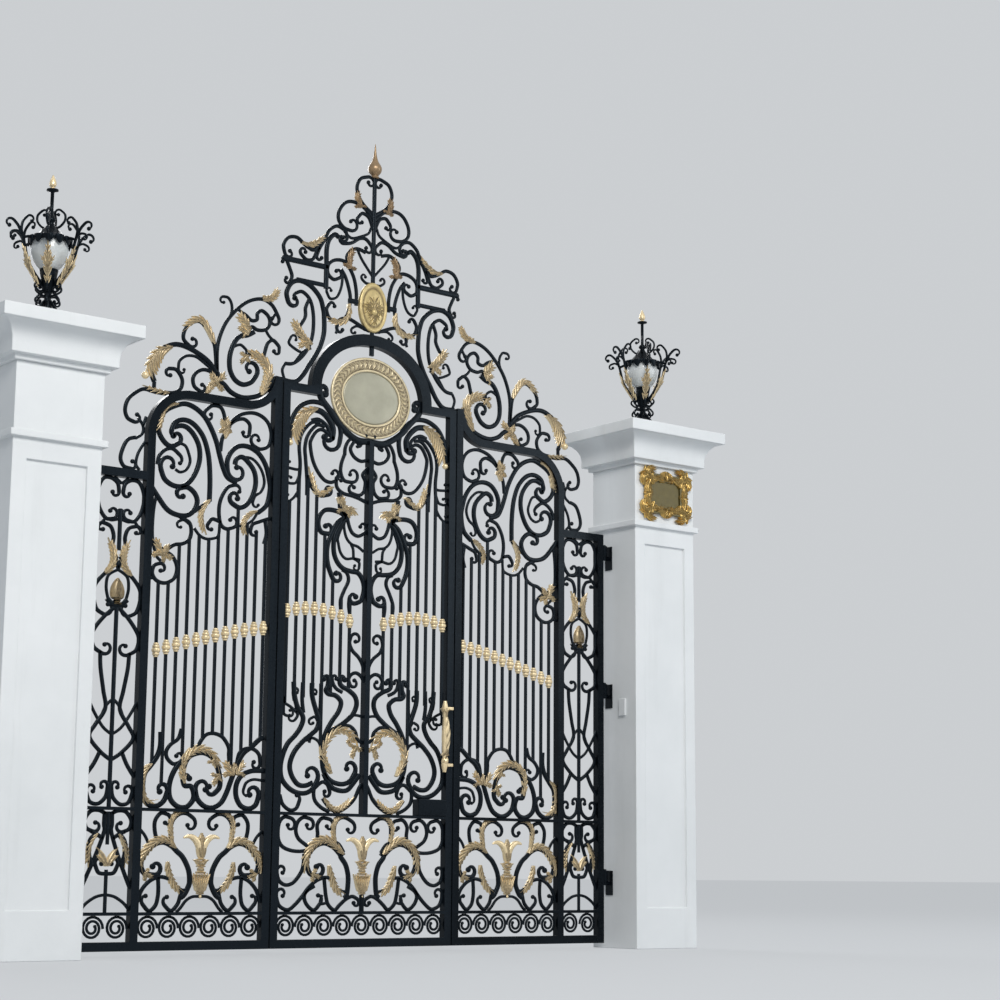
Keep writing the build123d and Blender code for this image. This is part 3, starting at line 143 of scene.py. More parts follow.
def goldLook(tree, bright=(0.92, 0.74, 0.45), deep=(0.05, 0.028, 0.010), metallic=0.4):
    """Paint over metal, with painted shade in the hollows and where the recess attribute is high.
    """
    patches = noiseAt(tree, 30.0, 5.0)
    leafed = rampOf(tree, patches, 0.3, 0.72, tuple(0.72 * part for part in bright), bright)
    recess = addNode(tree, "ShaderNodeAttribute", attribute_name="recess").outputs["Fac"]
    geometry = addNode(tree, "ShaderNodeNewGeometry")
    # Painted shade: the paint turns to deep in hollows that pointiness finds and where recess is
    # high.
    hollow = rampOf(tree, geometry.outputs["Pointiness"], 0.40, 0.50, 1.0, 0.0)
    deepest = sumOf(tree, "MAXIMUM", sumOf(tree, "POWER", recess, 1.6), hollow)
    # Noise that breaks up the painted shade and varies the roughness.
    mottle = noiseAt(tree, 95.0, 6.0, 0.7)
    broken = sumOf(tree, "MULTIPLY", deepest, rampOf(tree, mottle, 0.25, 0.6, 0.45, 1.0))
    return {"Base Color": mixOf(tree, broken, leafed, deep), "Metallic": metallic,
            "Roughness": rampOf(tree, mottle, 0.3, 0.7, 0.24, 0.45),
            "Normal": bumpsOf(tree, (patches, 0.25, 0.002),
                              (noiseAt(tree, 260.0, 4.0), 0.2, 0.0006))}


def sheetLook(tree):
    fine = noiseAt(tree, 120.0, 5.0)
    return {"Base Color": rampOf(tree, noiseAt(tree, 6.0, 5.0), 0.3, 0.75,
                                 (0.30, 0.29, 0.22), (0.41, 0.39, 0.30)),
            "Metallic": 0.35, "Roughness": rampOf(tree, fine, 0.3, 0.7, 0.34, 0.5),
            "Normal": bumpsOf(tree, (fine, 0.15, 0.0004))}


def renderLook(tree):
    """White masonry render with faint streaks that run down."""
    base = rampOf(tree, noiseAt(tree, 1.6, 6.0), 0.3, 0.75, (0.68, 0.70, 0.705),
                  (0.77, 0.785, 0.79))
    streaks = noiseAt(tree, 5.0, 7.0, 0.7, (1, 1, 0.09))
    stain = rampOf(tree, streaks, 0.56, 0.78, 0.0, 0.22)
    return {"Base Color": mixOf(tree, stain, base, (0.44, 0.45, 0.44)), "Roughness": 0.62,
            "Normal": bumpsOf(tree, (noiseAt(tree, 90.0, 8.0), 0.18, 0.0015),
                              (noiseAt(tree, 600.0, 3.0), 0.15, 0.0005))}


def glassLook(tree):
    return {"Base Color": rampOf(tree, noiseAt(tree, 12.0, 3.0), 0.3, 0.7,
                                 (0.66, 0.70, 0.70), (0.78, 0.80, 0.80)),
            "Roughness": 0.42, "Transmission Weight": 0.25, "Coat Weight": 0.3,
            "Normal": bumpsOf(tree, (noiseAt(tree, 300.0, 2.0), 0.1, 0.0003))}


iron = newMaterial("blackIron", ironLook)
gold = newMaterial("goldPaint", goldLook)
paleGold = newMaterial("paleGold", goldLook, bright=(0.78, 0.66, 0.42), metallic=0.3)
bronze = newMaterial("bronzePaint", goldLook, bright=(0.33, 0.22, 0.12),
                     deep=(0.03, 0.018, 0.010))
paleBronze = newMaterial("paleBronze", goldLook, bright=(0.52, 0.36, 0.20))
cartoucheGold = newMaterial("cartoucheGold", goldLook, bright=(0.64, 0.50, 0.23))
oldGold = newMaterial("oldGold", goldLook, bright=(0.88, 0.60, 0.20),
                      deep=(0.03, 0.017, 0.004), metallic=0.8)
# Near-black gold for the plaque's board and sunk field: painted shade between the raised leaves of
# the frame.
plaqueField = newMaterial("plaqueInPaintedShade", goldLook, bright=(0.085, 0.064, 0.010),
                          deep=(0.03, 0.022, 0.006))
slotMaterials = {"black_iron": iron, "gold_paint": gold,
                 "champagne_sheet": newMaterial("champagneSheet", sheetLook),
                 "white_render": newMaterial("whiteRender", renderLook),
                 "frosted_glass": newMaterial("frostedGlass", glassLook)}
print("materials ready")


# Pieces and Geometry Nodes trees

def newObject(name, content):
    thing = bpy.data.objects.new(name, content)
    scene.collection.objects.link(thing)
    return thing


def settled(name, mesh, body, slotName, replaced=(), place=Matrix.Identity(4), material=None):
    """Puts a mesh in its place, as a piece that rides on its body, and hides the CAD nodes it
    stands for."""
    mesh.transform(place)
    mesh.name = name
    mesh.materials.clear()
    mesh.materials.append(material or slotMaterials[slotName])
    piece = newObject(name, mesh)
    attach(piece, body)
    if replaced:
        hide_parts(*replaced)
    return piece


def baked(mesh, tree, material, **values):
    """Runs a Geometry Nodes tree on a mesh and keeps the result as a plain mesh."""
    source = newObject("source", mesh)
    modifier = source.modifiers.new("build", "NODES")
    modifier.node_group = tree
    sockets = {item.name: item.identifier for item in tree.interface.items_tree
               if item.item_type == "SOCKET" and item.in_out == "INPUT"}
    for key, value in [*values.items(), ("Material", material)]:
        modifier[sockets[key]] = value
    graph = bpy.context.evaluated_depsgraph_get()
    made = bpy.data.meshes.new_from_object(source.evaluated_get(graph), depsgraph=graph)
    bpy.data.objects.remove(source, do_unlink=True)
    return made


def joined(meshes):
    """Several meshes as one."""
    work = bmesh.new()
    for mesh in meshes:
        work.from_mesh(mesh)
    made = bpy.data.meshes.new("joined")
    work.to_mesh(made)
    work.free()
    return made


def newTree(name, **kinds):
    """A tree whose inputs are Geometry, the named ones and Material."""
    tree = bpy.data.node_groups.new(name, "GeometryNodeTree")
    for key, kind in [("Geometry", "Geometry"), *kinds.items(), ("Material", "Material")]:
        tree.interface.new_socket(key, in_out="INPUT", socket_type="NodeSocket" + kind)
    tree.interface.new_socket("Geometry", in_out="OUTPUT", socket_type="NodeSocketGeometry")
    return tree, tree.nodes.new("NodeGroupInput").outputs


def finishTree(tree, given, made):
    painted = addNode(tree, "GeometryNodeSetMaterial", made, Material=given["Material"])
    addNode(tree, "NodeGroupOutput", painted)
    return tree


def namedFloat(tree, name):
    return addNode(tree, "GeometryNodeInputNamedAttribute", data_type="FLOAT", Name=name)


def makeBarTree(name, ease, segments, rings, leafy=False):
    """A bar along each run of edges, as wide as thick, and a ball on each point with an eye.
    Iron is Depth times as deep as wide and held within Reach. A leaf's depth about Plane grows
    by rise, and its flanks carry how deep they lie, as recess for the gold's painted shade."""
    tree, given = newTree(name, **({"Plane": "Float"} if leafy else
                                   {"Depth": "Float", "Reach": "Float"}))
    section = addNode(tree, "GeometryNodeCurvePrimitiveQuadrilateral", Width=1.0,
                      Height=1.0 if leafy else given["Depth"])
    profile = addNode(tree, "GeometryNodeFilletCurve", section, 1, ease, mode="POLY")
    place = addNode(tree, "ShaderNodeSeparateXYZ", addNode(tree, "GeometryNodeInputPosition"))
    out, depth, up = place.outputs
    if leafy:
        # The flanks' recess, growing out from the ridge, is painted shade on the gold.
        aside = sumOf(tree, "SUBTRACT", sumOf(tree, "ABSOLUTE", out), 0.22)
        profile = addNode(tree, "GeometryNodeStoreNamedAttribute", profile, Name="recess",
                          Value=sumOf(tree, "MULTIPLY", aside, 3.2), data_type="FLOAT",
                          domain="POINT")
        raised = sumOf(tree, "MULTIPLY", sumOf(tree, "SUBTRACT", depth, given["Plane"]),
                       namedFloat(tree, "rise"))
        depth = sumOf(tree, "ADD", raised, given["Plane"])
    else:
        depth = addNode(tree, "ShaderNodeClamp", depth,
                        sumOf(tree, "MULTIPLY", given["Reach"], -1.0), given["Reach"])
    thick, eye = namedFloat(tree, "thick"), namedFloat(tree, "eye")
    curve = addNode(tree, "GeometryNodeMeshToCurve", given["Geometry"])
    curve = addNode(tree, "GeometryNodeSetCurveNormal", curve, mode="FREE", Normal=(0, 1, 0))
    bars = addNode(tree, "GeometryNodeCurveToMesh", curve, profile, thick, True)
    ball = addNode(tree, "GeometryNodeMeshUVSphere", segments, rings, 1.0)
    seen = addNode(tree, "FunctionNodeCompare", eye, 0.0001, data_type="FLOAT",
                   operation="GREATER_THAN")
    balls = addNode(tree, "GeometryNodeInstanceOnPoints", given["Geometry"], seen, ball,
                    Scale=eye)
    both = addNode(tree, "GeometryNodeJoinGeometry", bars)
    feed(tree, balls, both.inputs[0])
    moved = addNode(tree, "GeometryNodeSetPosition",
                    addNode(tree, "GeometryNodeRealizeInstances", both),
                    Position=addNode(tree, "ShaderNodeCombineXYZ", out, depth, up))
    return finishTree(tree, given, addNode(tree, "GeometryNodeSetShadeSmooth", moved))


def makeBeadTree():
    """A turned bead on every point, facing up its bar."""
    tree, given = newTree("beadRow", Bead="Object")
    look = addNode(tree, "GeometryNodeObjectInfo", given["Bead"])
    row = addNode(tree, "GeometryNodeInstanceOnPoints", given["Geometry"],
                  Instance=look.outputs["Geometry"])
    return finishTree(tree, given, addNode(tree, "GeometryNodeRealizeInstances", row))


def makeRingTree():
    """Count copies of a piece turned evenly about the upright, from the angle First."""
    tree, given = newTree("turnedCopies", Count="Int", First="Float")
    line = addNode(tree, "GeometryNodeMeshLine", given["Count"], Offset=(0, 0, 0))
    step = sumOf(tree, "DIVIDE", 2 * math.pi, given["Count"])
    angle = sumOf(tree, "MULTIPLY_ADD", addNode(tree, "GeometryNodeInputIndex"), step,
                  given["First"])
    copies = addNode(tree, "GeometryNodeInstanceOnPoints", line, Instance=given["Geometry"],
                     Rotation=addNode(tree, "ShaderNodeCombineXYZ", Z=angle))
    return finishTree(tree, given, addNode(tree, "GeometryNodeRealizeInstances", copies))


scrollTree = makeBarTree("forgedScroll", 0.2, 12, 8)
leafTree = makeBarTree("leafStrands", 0.33, 14, 9, leafy=True)
beadTree = makeBeadTree()
ringTree = makeRingTree()


# Traced scrolls

bars = {"fine": 10.5, "plain": 13.5, "heavy": 17.5}


def headingOf(a, b):
    return math.atan2(b[1] - a[1], b[0] - a[0])


def smoothRun(points, parts=7):
    """The points with a smooth curve through them."""
    if len(points) < 3:
        return list(points)
    run = []
    ends = [points[0], *points, points[-1]]
    for a, b, c, d in zip(ends, ends[1:], ends[2:], ends[3:]):
        for k in range(parts):
            t = k / parts
            run.append(tuple(
                0.5 * (2 * b[i] + (c[i] - a[i]) * t
                       + (2 * a[i] - 5 * b[i] + 4 * c[i] - d[i]) * t * t
                       + (3 * b[i] - a[i] - 3 * c[i] + d[i]) * t ** 3) for i in (0, 1)))
    return run + [points[-1]]


def curlRun(point, heading, radius, degrees, side, width):
    """A curl that tightens from its first radius to its eye."""
    steps = max(6, round(degrees / 20))
    turn = math.radians(degrees) / steps
    last = max(0.3 * radius, 0.9 * width)
    run = []
    for k in range(steps):
        now = radius + (last - radius) * (k + 0.5) / steps
        heading += side * turn / 2
        length = 2 * now * math.sin(turn / 2)
        point = (point[0] + length * math.cos(heading), point[1] + length * math.sin(heading))
        heading += side * turn / 2
        run.append(point)
    return run


def bendSide(a, b, c):
    turn = (headingOf(b, c) - headingOf(a, b) + math.pi) % (2 * math.pi) - math.pi
    return 1 if turn >= 0 else -1


def scroll(points, start=None, end=None, width=bars["plain"]):
    """A run of (out, up, width, eye), with curls of (radius, degrees) at its ends."""
    body = smoothRun(points)
    head, tail = [], []
    if start:
        side = bendSide(points[2], points[1], points[0])
        head = curlRun(body[0], headingOf(body[1], body[0]), *start, side, width)
    if end:
        side = bendSide(points[-3], points[-2], points[-1])
        tail = curlRun(body[-1], headingOf(body[-2], body[-1]), *end, side, width)
    run = [[*point, width, 0.0] for point in [*reversed(head), *body, *tail]]
    for curl, inward in ((head, run), (tail, run[::-1])):
        for k in range(len(curl)):
            inward[k][2] = width * (0.6 + 0.4 * k / len(curl))
        if curl:
            inward[0][3] = 0.9 * width
    return run


def rail(across, upright):
    """A straight bar between two limits each way, along its longer side."""
    middle = sum(across) / 2, sum(upright) / 2
    if across[1] - across[0] > upright[1] - upright[0]:
        ends, width = [(out, middle[1]) for out in across], upright[1] - upright[0]
    else:
        ends, width = [(middle[0], up) for up in upright], across[1] - across[0]
    return [[*point, width, 0.0] for point in ends]


def pairOf(word):
    return tuple(float(part) for part in word.strip("<>").split(","))


def traced(text):
    """Scrolls parted by semicolons: their out,up points in order, <radius,degrees of a curl at
    the start and > of one at the end, and the width where it isn't plain. A rail gives its
    limits."""
    runs = []
    for item in text.split(";"):
        words = item.split()
        if words[0] == "rail":
            runs.append(rail(pairOf(words[1]), pairOf(words[2])))
            continue
        curls = {word[0]: pairOf(word) for word in words if word[0] in "<>"}
        points = [pairOf(word) for word in words if "," in word and word[0] not in "<>"]
        width = words[-1] if "," not in words[-1] else "plain"
        runs.append(scroll(points, curls.get("<"), curls.get(">"),
                           bars.get(width) or float(width)))
    return runs


def mirrored(runs, middle=0.0):
    return [[[2 * middle - point[0], *point[1:]] for point in run] for run in runs]


def shifted(runs, by):
    return [[[point[0] + by, *point[1:]] for point in run] for run in runs]


def heldWithin(runs, low, high):
    """Keeps the runs inside a leaf's own width."""
    return [[[min(max(point[0], low), high), *point[1:]] for point in run] for run in runs]


def runMesh(runs, keys=("thick", "eye"), back=0.0):
    """Runs of (out, up, ...) as edges, with the further numbers as attributes, in metres."""
    mesh = bpy.data.meshes.new("runs")
    places, edges, values = [], [], []
    for run in runs:
        first = len(places)
        edges += [(first + k, first + k + 1) for k in range(len(run) - 1)]
        for out, up, *rest in run:
            places.append((out * mm, -back * mm, up * mm))
            values.append([part * mm for part in rest])
    mesh.from_pydata(places, edges, [])
    for k, key in enumerate(keys):
        mesh.attributes.new(key, "FLOAT", "POINT").data.foreach_set(
            "value", [value[k] for value in values])
    return mesh


def forged(runs, depth=1.45, reach=8.8, material=iron):
    return baked(runMesh(runs), scrollTree, material, Depth=depth, Reach=reach * mm)


medallionLoops = traced("""
12,2744 83,2744 150,2775 217,2826 267,2883 322,2939 338,2978 >26,250 23.5;
rail -9,9 3231,3284""")
centreUpper = traced("""
522,2700 520,2744 505,2811 472,2867 428,2900 372,2917 305,2911 250,2878 211,2828 194,2772 200,2717
  >62,330 heavy;
372,2875 320,2868 275,2835 246,2790 247,2745 >34,160 21.5;
383,2814 340,2824 290,2800 262,2752;
262,2745 310,2770 350,2758 380,2715 389,2678 372,2600 339,2540 294,2497 250,2489 217,2506 >34,250;
300,2790 352,2790 405,2730 422,2660 417,2600 405,2489 403,2400;
330,2805 385,2800 440,2740 459,2670 450,2560 457,2440 457,2380;
403,2510 394,2480 361,2436 317,2408 267,2417 >28,280;
450,2540 470,2532 520,2535 >24,220 fine;
455,2500 475,2460 505,2452 >26,250 fine;
458,2420 480,2385 505,2362 >26,250 fine;
<24,200 20,2740 72,2728 128,2745 160,2700 165,2650;
18,2640 60,2630 105,2650 128,2690 105,2735 >30,270;
166,2655 186,2600 188,2550 165,2510 120,2505 >44,300;
<26,250 20,2590 44,2556 26,2517 35,2465 67,2439 111,2444 >28,240;
<22,230 217,2511 211,2467 172,2439 111,2431 60,2420 18,2405;
196,2440 190,2400 184,2350 150,2310 heavy;
148,2315 194,2333 250,2339 294,2328 322,2289 325,2244 305,2211 272,2206 >32,250 heavy;
150,2312 200,2278 233,2222 261,2156 267,2089 255,2028 228,1972 >32,280 heavy;
150,2305 194,2244 222,2178 222,2111 200,2061 161,2028 111,2017 61,2011 30,1972 22,1922 39,1867
  72,1847 >32,280 heavy;
152,2300 196,2200 194,2160 178,2111 144,2083 94,2089 50,2085 fine;
150,2300 160,2260 144,2200 111,2167 67,2156 30,2133 fine;
112,2164 98,2140 94,2092 fine;
142,2320 128,2267 105,2228 67,2214 28,2233 >34,250;
94,2089 58,2072 56,2045 >22,240 fine;
170,1806 172,1856 150,1911 124,1965 135,2005 165,2020;
112,1790 118,1830 116,1870 14""")
centreMiddle = traced("""
457,1400 450,1330 430,1270 394,1217 406,1167 439,1122 483,1078 511,1022 526,956 517,894 478,850
  428,825 372,822 328,844 300,883 >54,260 heavy;
342,1400 339,1330 311,1250 294,1206 306,1161 344,1128 394,1089 444,1033 469,967 456,911 417,867
  372,861 328,878 heavy;
443,1290 436,1250 428,1225 440,1205 >30,200 fine;
515,1320 515,1290 472,1267 433,1239 fine;
400,1400 402,1310 392,1240 14;
285,1400 286,1290 292,1210 14;
515,1400 515,1250 508,1225 480,1218 >22,220 fine;
296,1190 318,1222 345,1214 >20,230 fine;
<17,190 238,1424 242,1392 253,1366 236,1348 196,1343 166,1324 156,1300 172,1256 211,1206 250,1139
  267,1067 267,989 250,928 205,888 139,876 89,895 61,933 >44,250 heavy;
<17,190 168,1428 164,1405 146,1390 111,1376 67,1344 56,1300 78,1250 122,1211 172,1178 225,1150
  248,1130 heavy;
12,1480 24,1520 48,1555 88,1588 108,1625 104,1655 >36,290;
12,1425 28,1452 60,1470 92,1462 110,1436 104,1412 >28,250;
150,1362 186,1378 208,1402 216,1428 >17,210;
452,1300 460,1340 456,1356 >17,230 fine;
336,1300 344,1340 340,1356 >17,230 fine;
258,930 217,867 167,844 111,844 72,878 30,930 heavy;
172,1180 139,1186 94,1183 61,1156 46,1115 14,1100;
122,1216 100,1236 78,1243 50,1244 14,1238 fine;
394,1092 367,1098 333,1111 294,1094 276,1056 fine;
340,1130 352,1085 fine;
300,884 310,866 317,822 306,783 267,750 218,729;
312,850 267,883 233,872 217,839 >24,250;
262,800 217,752 167,731 111,755 60,800 30,858 14,880;
526,810 506,761 461,732 422,744 404,783 >24,120""")
centreLow = traced("""
350,528 394,522 450,526 500,544 526,578 531,628 522,672 494,697 456,692 >36,280;
316,532 367,561 406,589 422,628 411,672 378,697 339,692 >34,280;
292,560 286,611 289,661 261,695 217,692 >33,260;
183,575 183,617 178,667 150,697 111,700 72,683 >40,250;
367,510 372,444 394,400 433,361 478,350 517,372 531,411 >30,270;
200,386 239,389 289,372 333,339 372,294 417,250 461,224 511,244 531,289 >34,270;
120,520 139,500 106,456 89,400 89,344 96,300 110,285 heavy;
139,506 183,545 239,566 294,553 336,513 352,467 330,411 289,398 >38,260 heavy;
206,444 194,394 161,333 111,317 92,320 fine;
300,345 345,320 361,290 344,250 300,222 261,256 >32,150;
240,388 232,330 225,290 211,250 172,222 139,248 100,278 61,292 30,280 >22,250;
250,300 261,256 225,258 fine;
183,575 150,560 120,520""")
centreVase = traced("""
0,214 0,250 0,300 heavy""")

# Scrollwork of a side leaf, from the top down

sideUpper = traced("""
888,2718 870,2747 823,2782 753,2800 694,2788 653,2753 636,2694 653,2635 700,2612 735,2621 >40,280;
890,2720 853,2747 806,2759 771,2735 771,2688 >26,200;
915,2700 929,2770 953,2803 1000,2803 1035,2776 >32,280;
890,2712 918,2670 935,2635 943,2570;
840,2415 894,2435 923,2482 947,2547 970,2618 1006,2688 1047,2741 1100,2776 1159,2790 1218,2771
  1276,2735 1306,2682 1308,2624 1276,2576 1235,2556 1194,2576 >34,220 heavy;
706,2271 653,2320 635,2400 641,2453 665,2529 712,2588 776,2615 835,2609 876,2576 899,2529 899,2482
  >60,300 heavy;
853,2510 845,2540 812,2555 776,2535 735,2488 724,2424 741,2359 776,2306 818,2285 859,2300 >36,270
  heavy;
812,2555 747,2553 694,2506 671,2441 688,2388 724,2359 737,2330 >26,200 fine;
<32,150 853,2400 894,2382 929,2324 941,2259 929,2188 894,2165 853,2176 >34,250;
1000,2297 1000,2412 1012,2529 1041,2618 1082,2671 1129,2700 1176,2703 1218,2682 1235,2640 >26,90
  heavy;
1215,2660 1180,2672 1141,2665 1100,2629 1071,2576 1065,2512 1082,2447 1118,2388 1165,2356
  1218,2356 1265,2382 1288,2429 >56,250 heavy;
1200,2580 1153,2571 1129,2529 1121,2488 1141,2447 1176,2429 1205,2440 fine;
1310,2453 1300,2500 1265,2535 1224,2545 1182,2518 >36,120;
1335,2330 1306,2294 1247,2229 1188,2206 1129,2209 1088,2241 1071,2288 1088,2329 1129,2355
  1171,2347 >30,220 heavy;
706,2275 740,2225 800,2190 826,2200 fine;
630,2250 700,2222 735,2206 747,2176 >24,220;
660,2235 650,2165 664,2110;
1000,2297 1040,2270 1085,2235;
929,2195 953,2204 982,2206 1003,2180 >22,160;
934,2185 938,2130 959,2110 1010,2100 1052,2115 1085,2150 fine;
1188,2207 1150,2190 1112,2172 1100,2129 1112,2085 1150,2060 1196,2050 1240,2020;
1115,2168 1145,2184 1171,2176 >22,200 fine;
1310,2290 1322,2200 1322,2080 1300,1990 1270,1960 fine;
1335,2080 1300,2040 1240,2010 1200,1985 1176,1935 1190,1880 1240,1850 1290,1858 1316,1892
  1308,1932 1278,1946 >26,230;
1302,1870 1340,1866 fine""")
sideMiddle = traced("""
630,929 706,924 759,900 788,853 788,794 759,747 712,733 671,753 655,794 >42,250 heavy;
630,878 688,882 729,865 745,830 >30,120 fine;
636,1100 659,1088 706,1047 753,1012 790,950 824,865 847,806 876,759 924,733 971,738 1012,771
  1026,812 >46,250 heavy;
790,955 776,1012 741,1037 694,1037 659,1012 650,971 >30,250;
812,890 830,940 838,1000 841,1041 876,1088 924,1106 971,1100 1000,1071 1020,1035 1040,990;
1100,865 1098,925 1080,970 1048,995 988,1006 935,985 902,935 886,876 888,835 915,806 >30,200
  heavy;
<22,200 1100,865 1088,838 1053,835 1036,800 1041,765 1076,733 1124,733 1165,765 1178,812 1171,865
  1147,918 1112,959 1084,975 heavy;
1235,1100 1235,1029 1253,976 1288,929 1318,890 1326,835 1318,776 1294,741 1247,733 1206,759
  1188,800 >34,260 heavy;
1178,830 1192,800 fine;
1118,1120 1135,1071 1176,1041 1200,1006 1194,971 1159,944 1124,953 >28,250;
1150,945 1140,925 fine""")
sideLow = traced("""
110,285 90,300 72,330 61,365 70,424 103,482 138,512 173,540 220,556 273,541 320,495 338,447
  318,405 265,396 >36,270 heavy;
173,545 179,612 167,665 132,696 91,700 56,682 >38,250;
240,552 262,590 270,640 262,672 235,699 200,694 >32,230;
185,630 178,665 200,696 fine;
185,453 179,412 144,353 103,324 72,330 fine;
172,376 226,387 279,371 320,335 342,294 353,260;
103,324 112,294 126,253 162,222 197,247 >32,150;
240,385 236,330 238,288 250,247 285,222 320,253 >32,150;
353,620 320,585 290,530 fine;
0,292 44,290 79,271 109,235 132,215 fine;
353,470 338,450 fine""")
sidePanel = traced("""
<24,200 12,2290 22,2330 60,2352 100,2345 125,2300 130,2250 115,2190 80,2145 45,2145 >34,260;
0,2150 45,2138 80,2142 110,2110 132,2090 fine;
0,2330 40,2360 fine;
0,2195 12,2190 20,2165 fine;
0,1900 20,1960 36,2010 32,2060 50,2105 90,2120 >24,240;
10,1960 40,1900 95,1845 126,1800 130,1750 112,1690 80,1668 >42,220;
8,1705 60,1660 110,1600 130,1555 118,1500 75,1472 >38,260;
50,1745 62,1800 52,1860 0,1893 fine;
0,1712 30,1722 56,1745 heavy;
80,1480 75,1400 55,1290 40,1200 90,1120 120,1060 60,990 0,950;
133,1240 100,1180 50,1110 0,1075 fine;
0,1250 36,1215 60,1160 fine;
60,990 90,930 133,870;
<24,240 10,820 20,770 60,736 105,745 125,790 >30,260;
rail -7,7 723,1716;
rail -7,7 1990,2200""")
sidePanelLow = traced("""
20,700 22,640 20,600 60,490 100,400 133,330;
18,690 50,704 95,700 126,660 118,620 86,604 >32,220;
60,590 90,560 100,500 82,440 heavy;
92,604 60,590 28,570;
0,400 40,405 60,440 >26,250;
0,300 50,290 100,260 133,225 fine;
rail -6,6 216,420;
rail -6,6 540,700;
82,440 100,400 fine""")

# Crest and wings

crestIron = traced("""
4,4040 19,4052 71,4087 106,4130 119,4183 97,4235 45,4257 >33,300;
4,4010 20,4030 80,4078 149,4091 201,4070 236,4017 236,3965 201,3930 158,3922 >44,260;
4,3974 19,3965 36,3930 80,3904 150,3880 200,3912 fine;
10,3960 19,3990 40,4025 80,4037 108,4010 >24,200;
<20,200 375,3739 358,3783 323,3843 297,3896 245,3930 193,3913 180,3887 >30,220;
<22,200 215,3842 201,3839 149,3852 97,3887 54,3893 20,3866 >32,260;
310,3686 312,3783 297,3843 262,3878 235,3868 heavy;
358,3817 393,3765 430,3770 462,3787 506,3813 560,3802 590,3757 582,3713 >28,250;
358,3783 375,3765 400,3712 440,3700 474,3722 >24,250;
rail 302,592 3672,3692;
rail 302,500 3570,3586;
rail 302,320 3560,3700;
<20,200 570,3676 549,3635 532,3591 545,3557 >18,220;
575,3008 500,3008 450,3050 404,3122 361,3189 333,3250 317,3317 319,3400 325,3440 349,3504 410,3557
  480,3574 535,3550 563,3496 555,3452 >38,250 heavy;
560,3100 511,3108 455,3155 411,3222 389,3300 389,3400 412,3478 462,3515 505,3500 >24,120;
560,3006 578,3060 560,3100 fine;
420,3480 440,3430 440,3383 462,3340 490,3300 470,3262 408,3240;
460,3176 500,3190 540,3215 530,3250 >24,200 fine;
400,3210 452,3180 505,3110 fine;
150,3715 201,3739 258,3732 298,3700 300,3650 264,3622 228,3635 >30,220;
215,3690 182,3645 152,3557 152,3500 170,3435 219,3391 280,3396 304,3443 288,3478 >24,160;
160,3710 127,3652 110,3574 110,3500;
rail 100,160 3512,3530;
204,3684 208,3600 236,3530 280,3509 304,3540 >22,220 fine;
110,3826 80,3774 28,3713 8,3690 fine;
8,3640 45,3640 70,3655 >20,240 fine;
54,3815 110,3826 160,3800 178,3760 150,3715;
45,3374 114,3404 167,3417 219,3400 234,3360 >26,200;
60,3378 100,3385 130,3370 >20,220 fine;
20,3368 45,3374 fine;
230,3350 240,3320 fine""")
wingIron = traced("""
978,2988 982,3100 968,3180 930,3268 866,3348 794,3404 714,3428 652,3405 612,3350 >36,270;
982,2985 990,3076 1002,3140 1034,3196 1090,3240 1146,3220 1178,3180 1184,3132 1154,3104 >34,250;
980,2980 1034,3036 1114,3076 1194,3096 1258,3086 1330,3040 1362,2980 1366,2930 1345,2880 heavy;
990,2984 1050,3020 1106,3048 1162,3044 1202,3012 1208,2972 >24,220 fine;
1345,2880 1338,2830 1274,2832 1226,2840 1190,2868 1184,2916 1218,2960 1258,2962 >24,220;
1274,2826 1338,2826 1402,2832 1450,2806 1490,2766 1505,2712 1490,2670 1455,2655 >30,200;
985,2975 1050,2988 1098,2968 1120,2932 1112,2892 1082,2872 >26,220;
978,2985 960,2945 930,2924 890,2892 826,2874 754,2886 698,2914 655,2958 620,3010 heavy;
760,3240 800,3215 842,3204 874,3172 898,3116 906,3060 898,3004 866,2960 818,2944 770,2964 740,3004
  >48,300 heavy;
896,3120 880,3140 842,3156 812,3140 >20,200 fine;
655,2960 652,3040 700,3100 740,3120 790,3110 834,3060;
830,3330 810,3320 778,3300 745,3310 742,3345 714,3364 674,3340 664,3300 690,3264 738,3254 778,3264
  800,3215;
914,3290 900,3330 904,3370 924,3398 952,3400 >22,220 fine;
664,3300 650,3330 625,3370 fine;
700,3100 688,3150 672,3195 640,3214 606,3190 >32,220;
690,3264 668,3235 640,3214 fine;
830,3330 866,3348 fine;
1430,2680 1400,2640 1402,2600 1440,2570 fine;
1384,2690 1400,2640 fine;
1440,2575 1480,2560 1505,2520 1520,2460 1500,2420 1460,2412 >26,200;
1384,2560 1420,2500 1432,2440 1410,2410 fine""")


# Ironwork of the three leaves

sideMid, panelMid = 982.0, 1508.5


def bothWays(runs, middle=0.0):
    """The runs and their mirror images; a run along the middle stays single."""
    paired = [run for run in runs if any(abs(point[0] - middle) > 1 for point in run)]
    return runs + mirrored(paired, middle)


def whorls(first, last, count, radius=59.0, middle=137.0, width=9.0):
    """A row of whorls, each winding in from its rim to its eye."""
    pitch = (last - first) / count
    runs = []
    for k in range(count):
        start = (first + (k + 0.5) * pitch - radius, middle)
        turns = curlRun(start, math.pi / 2, radius - 0.5, 760, -1, width)
        runs.append([[*point, width, 0.0] for point in [start, *turns]])
        runs[-1][-1][3] = width
    return runs


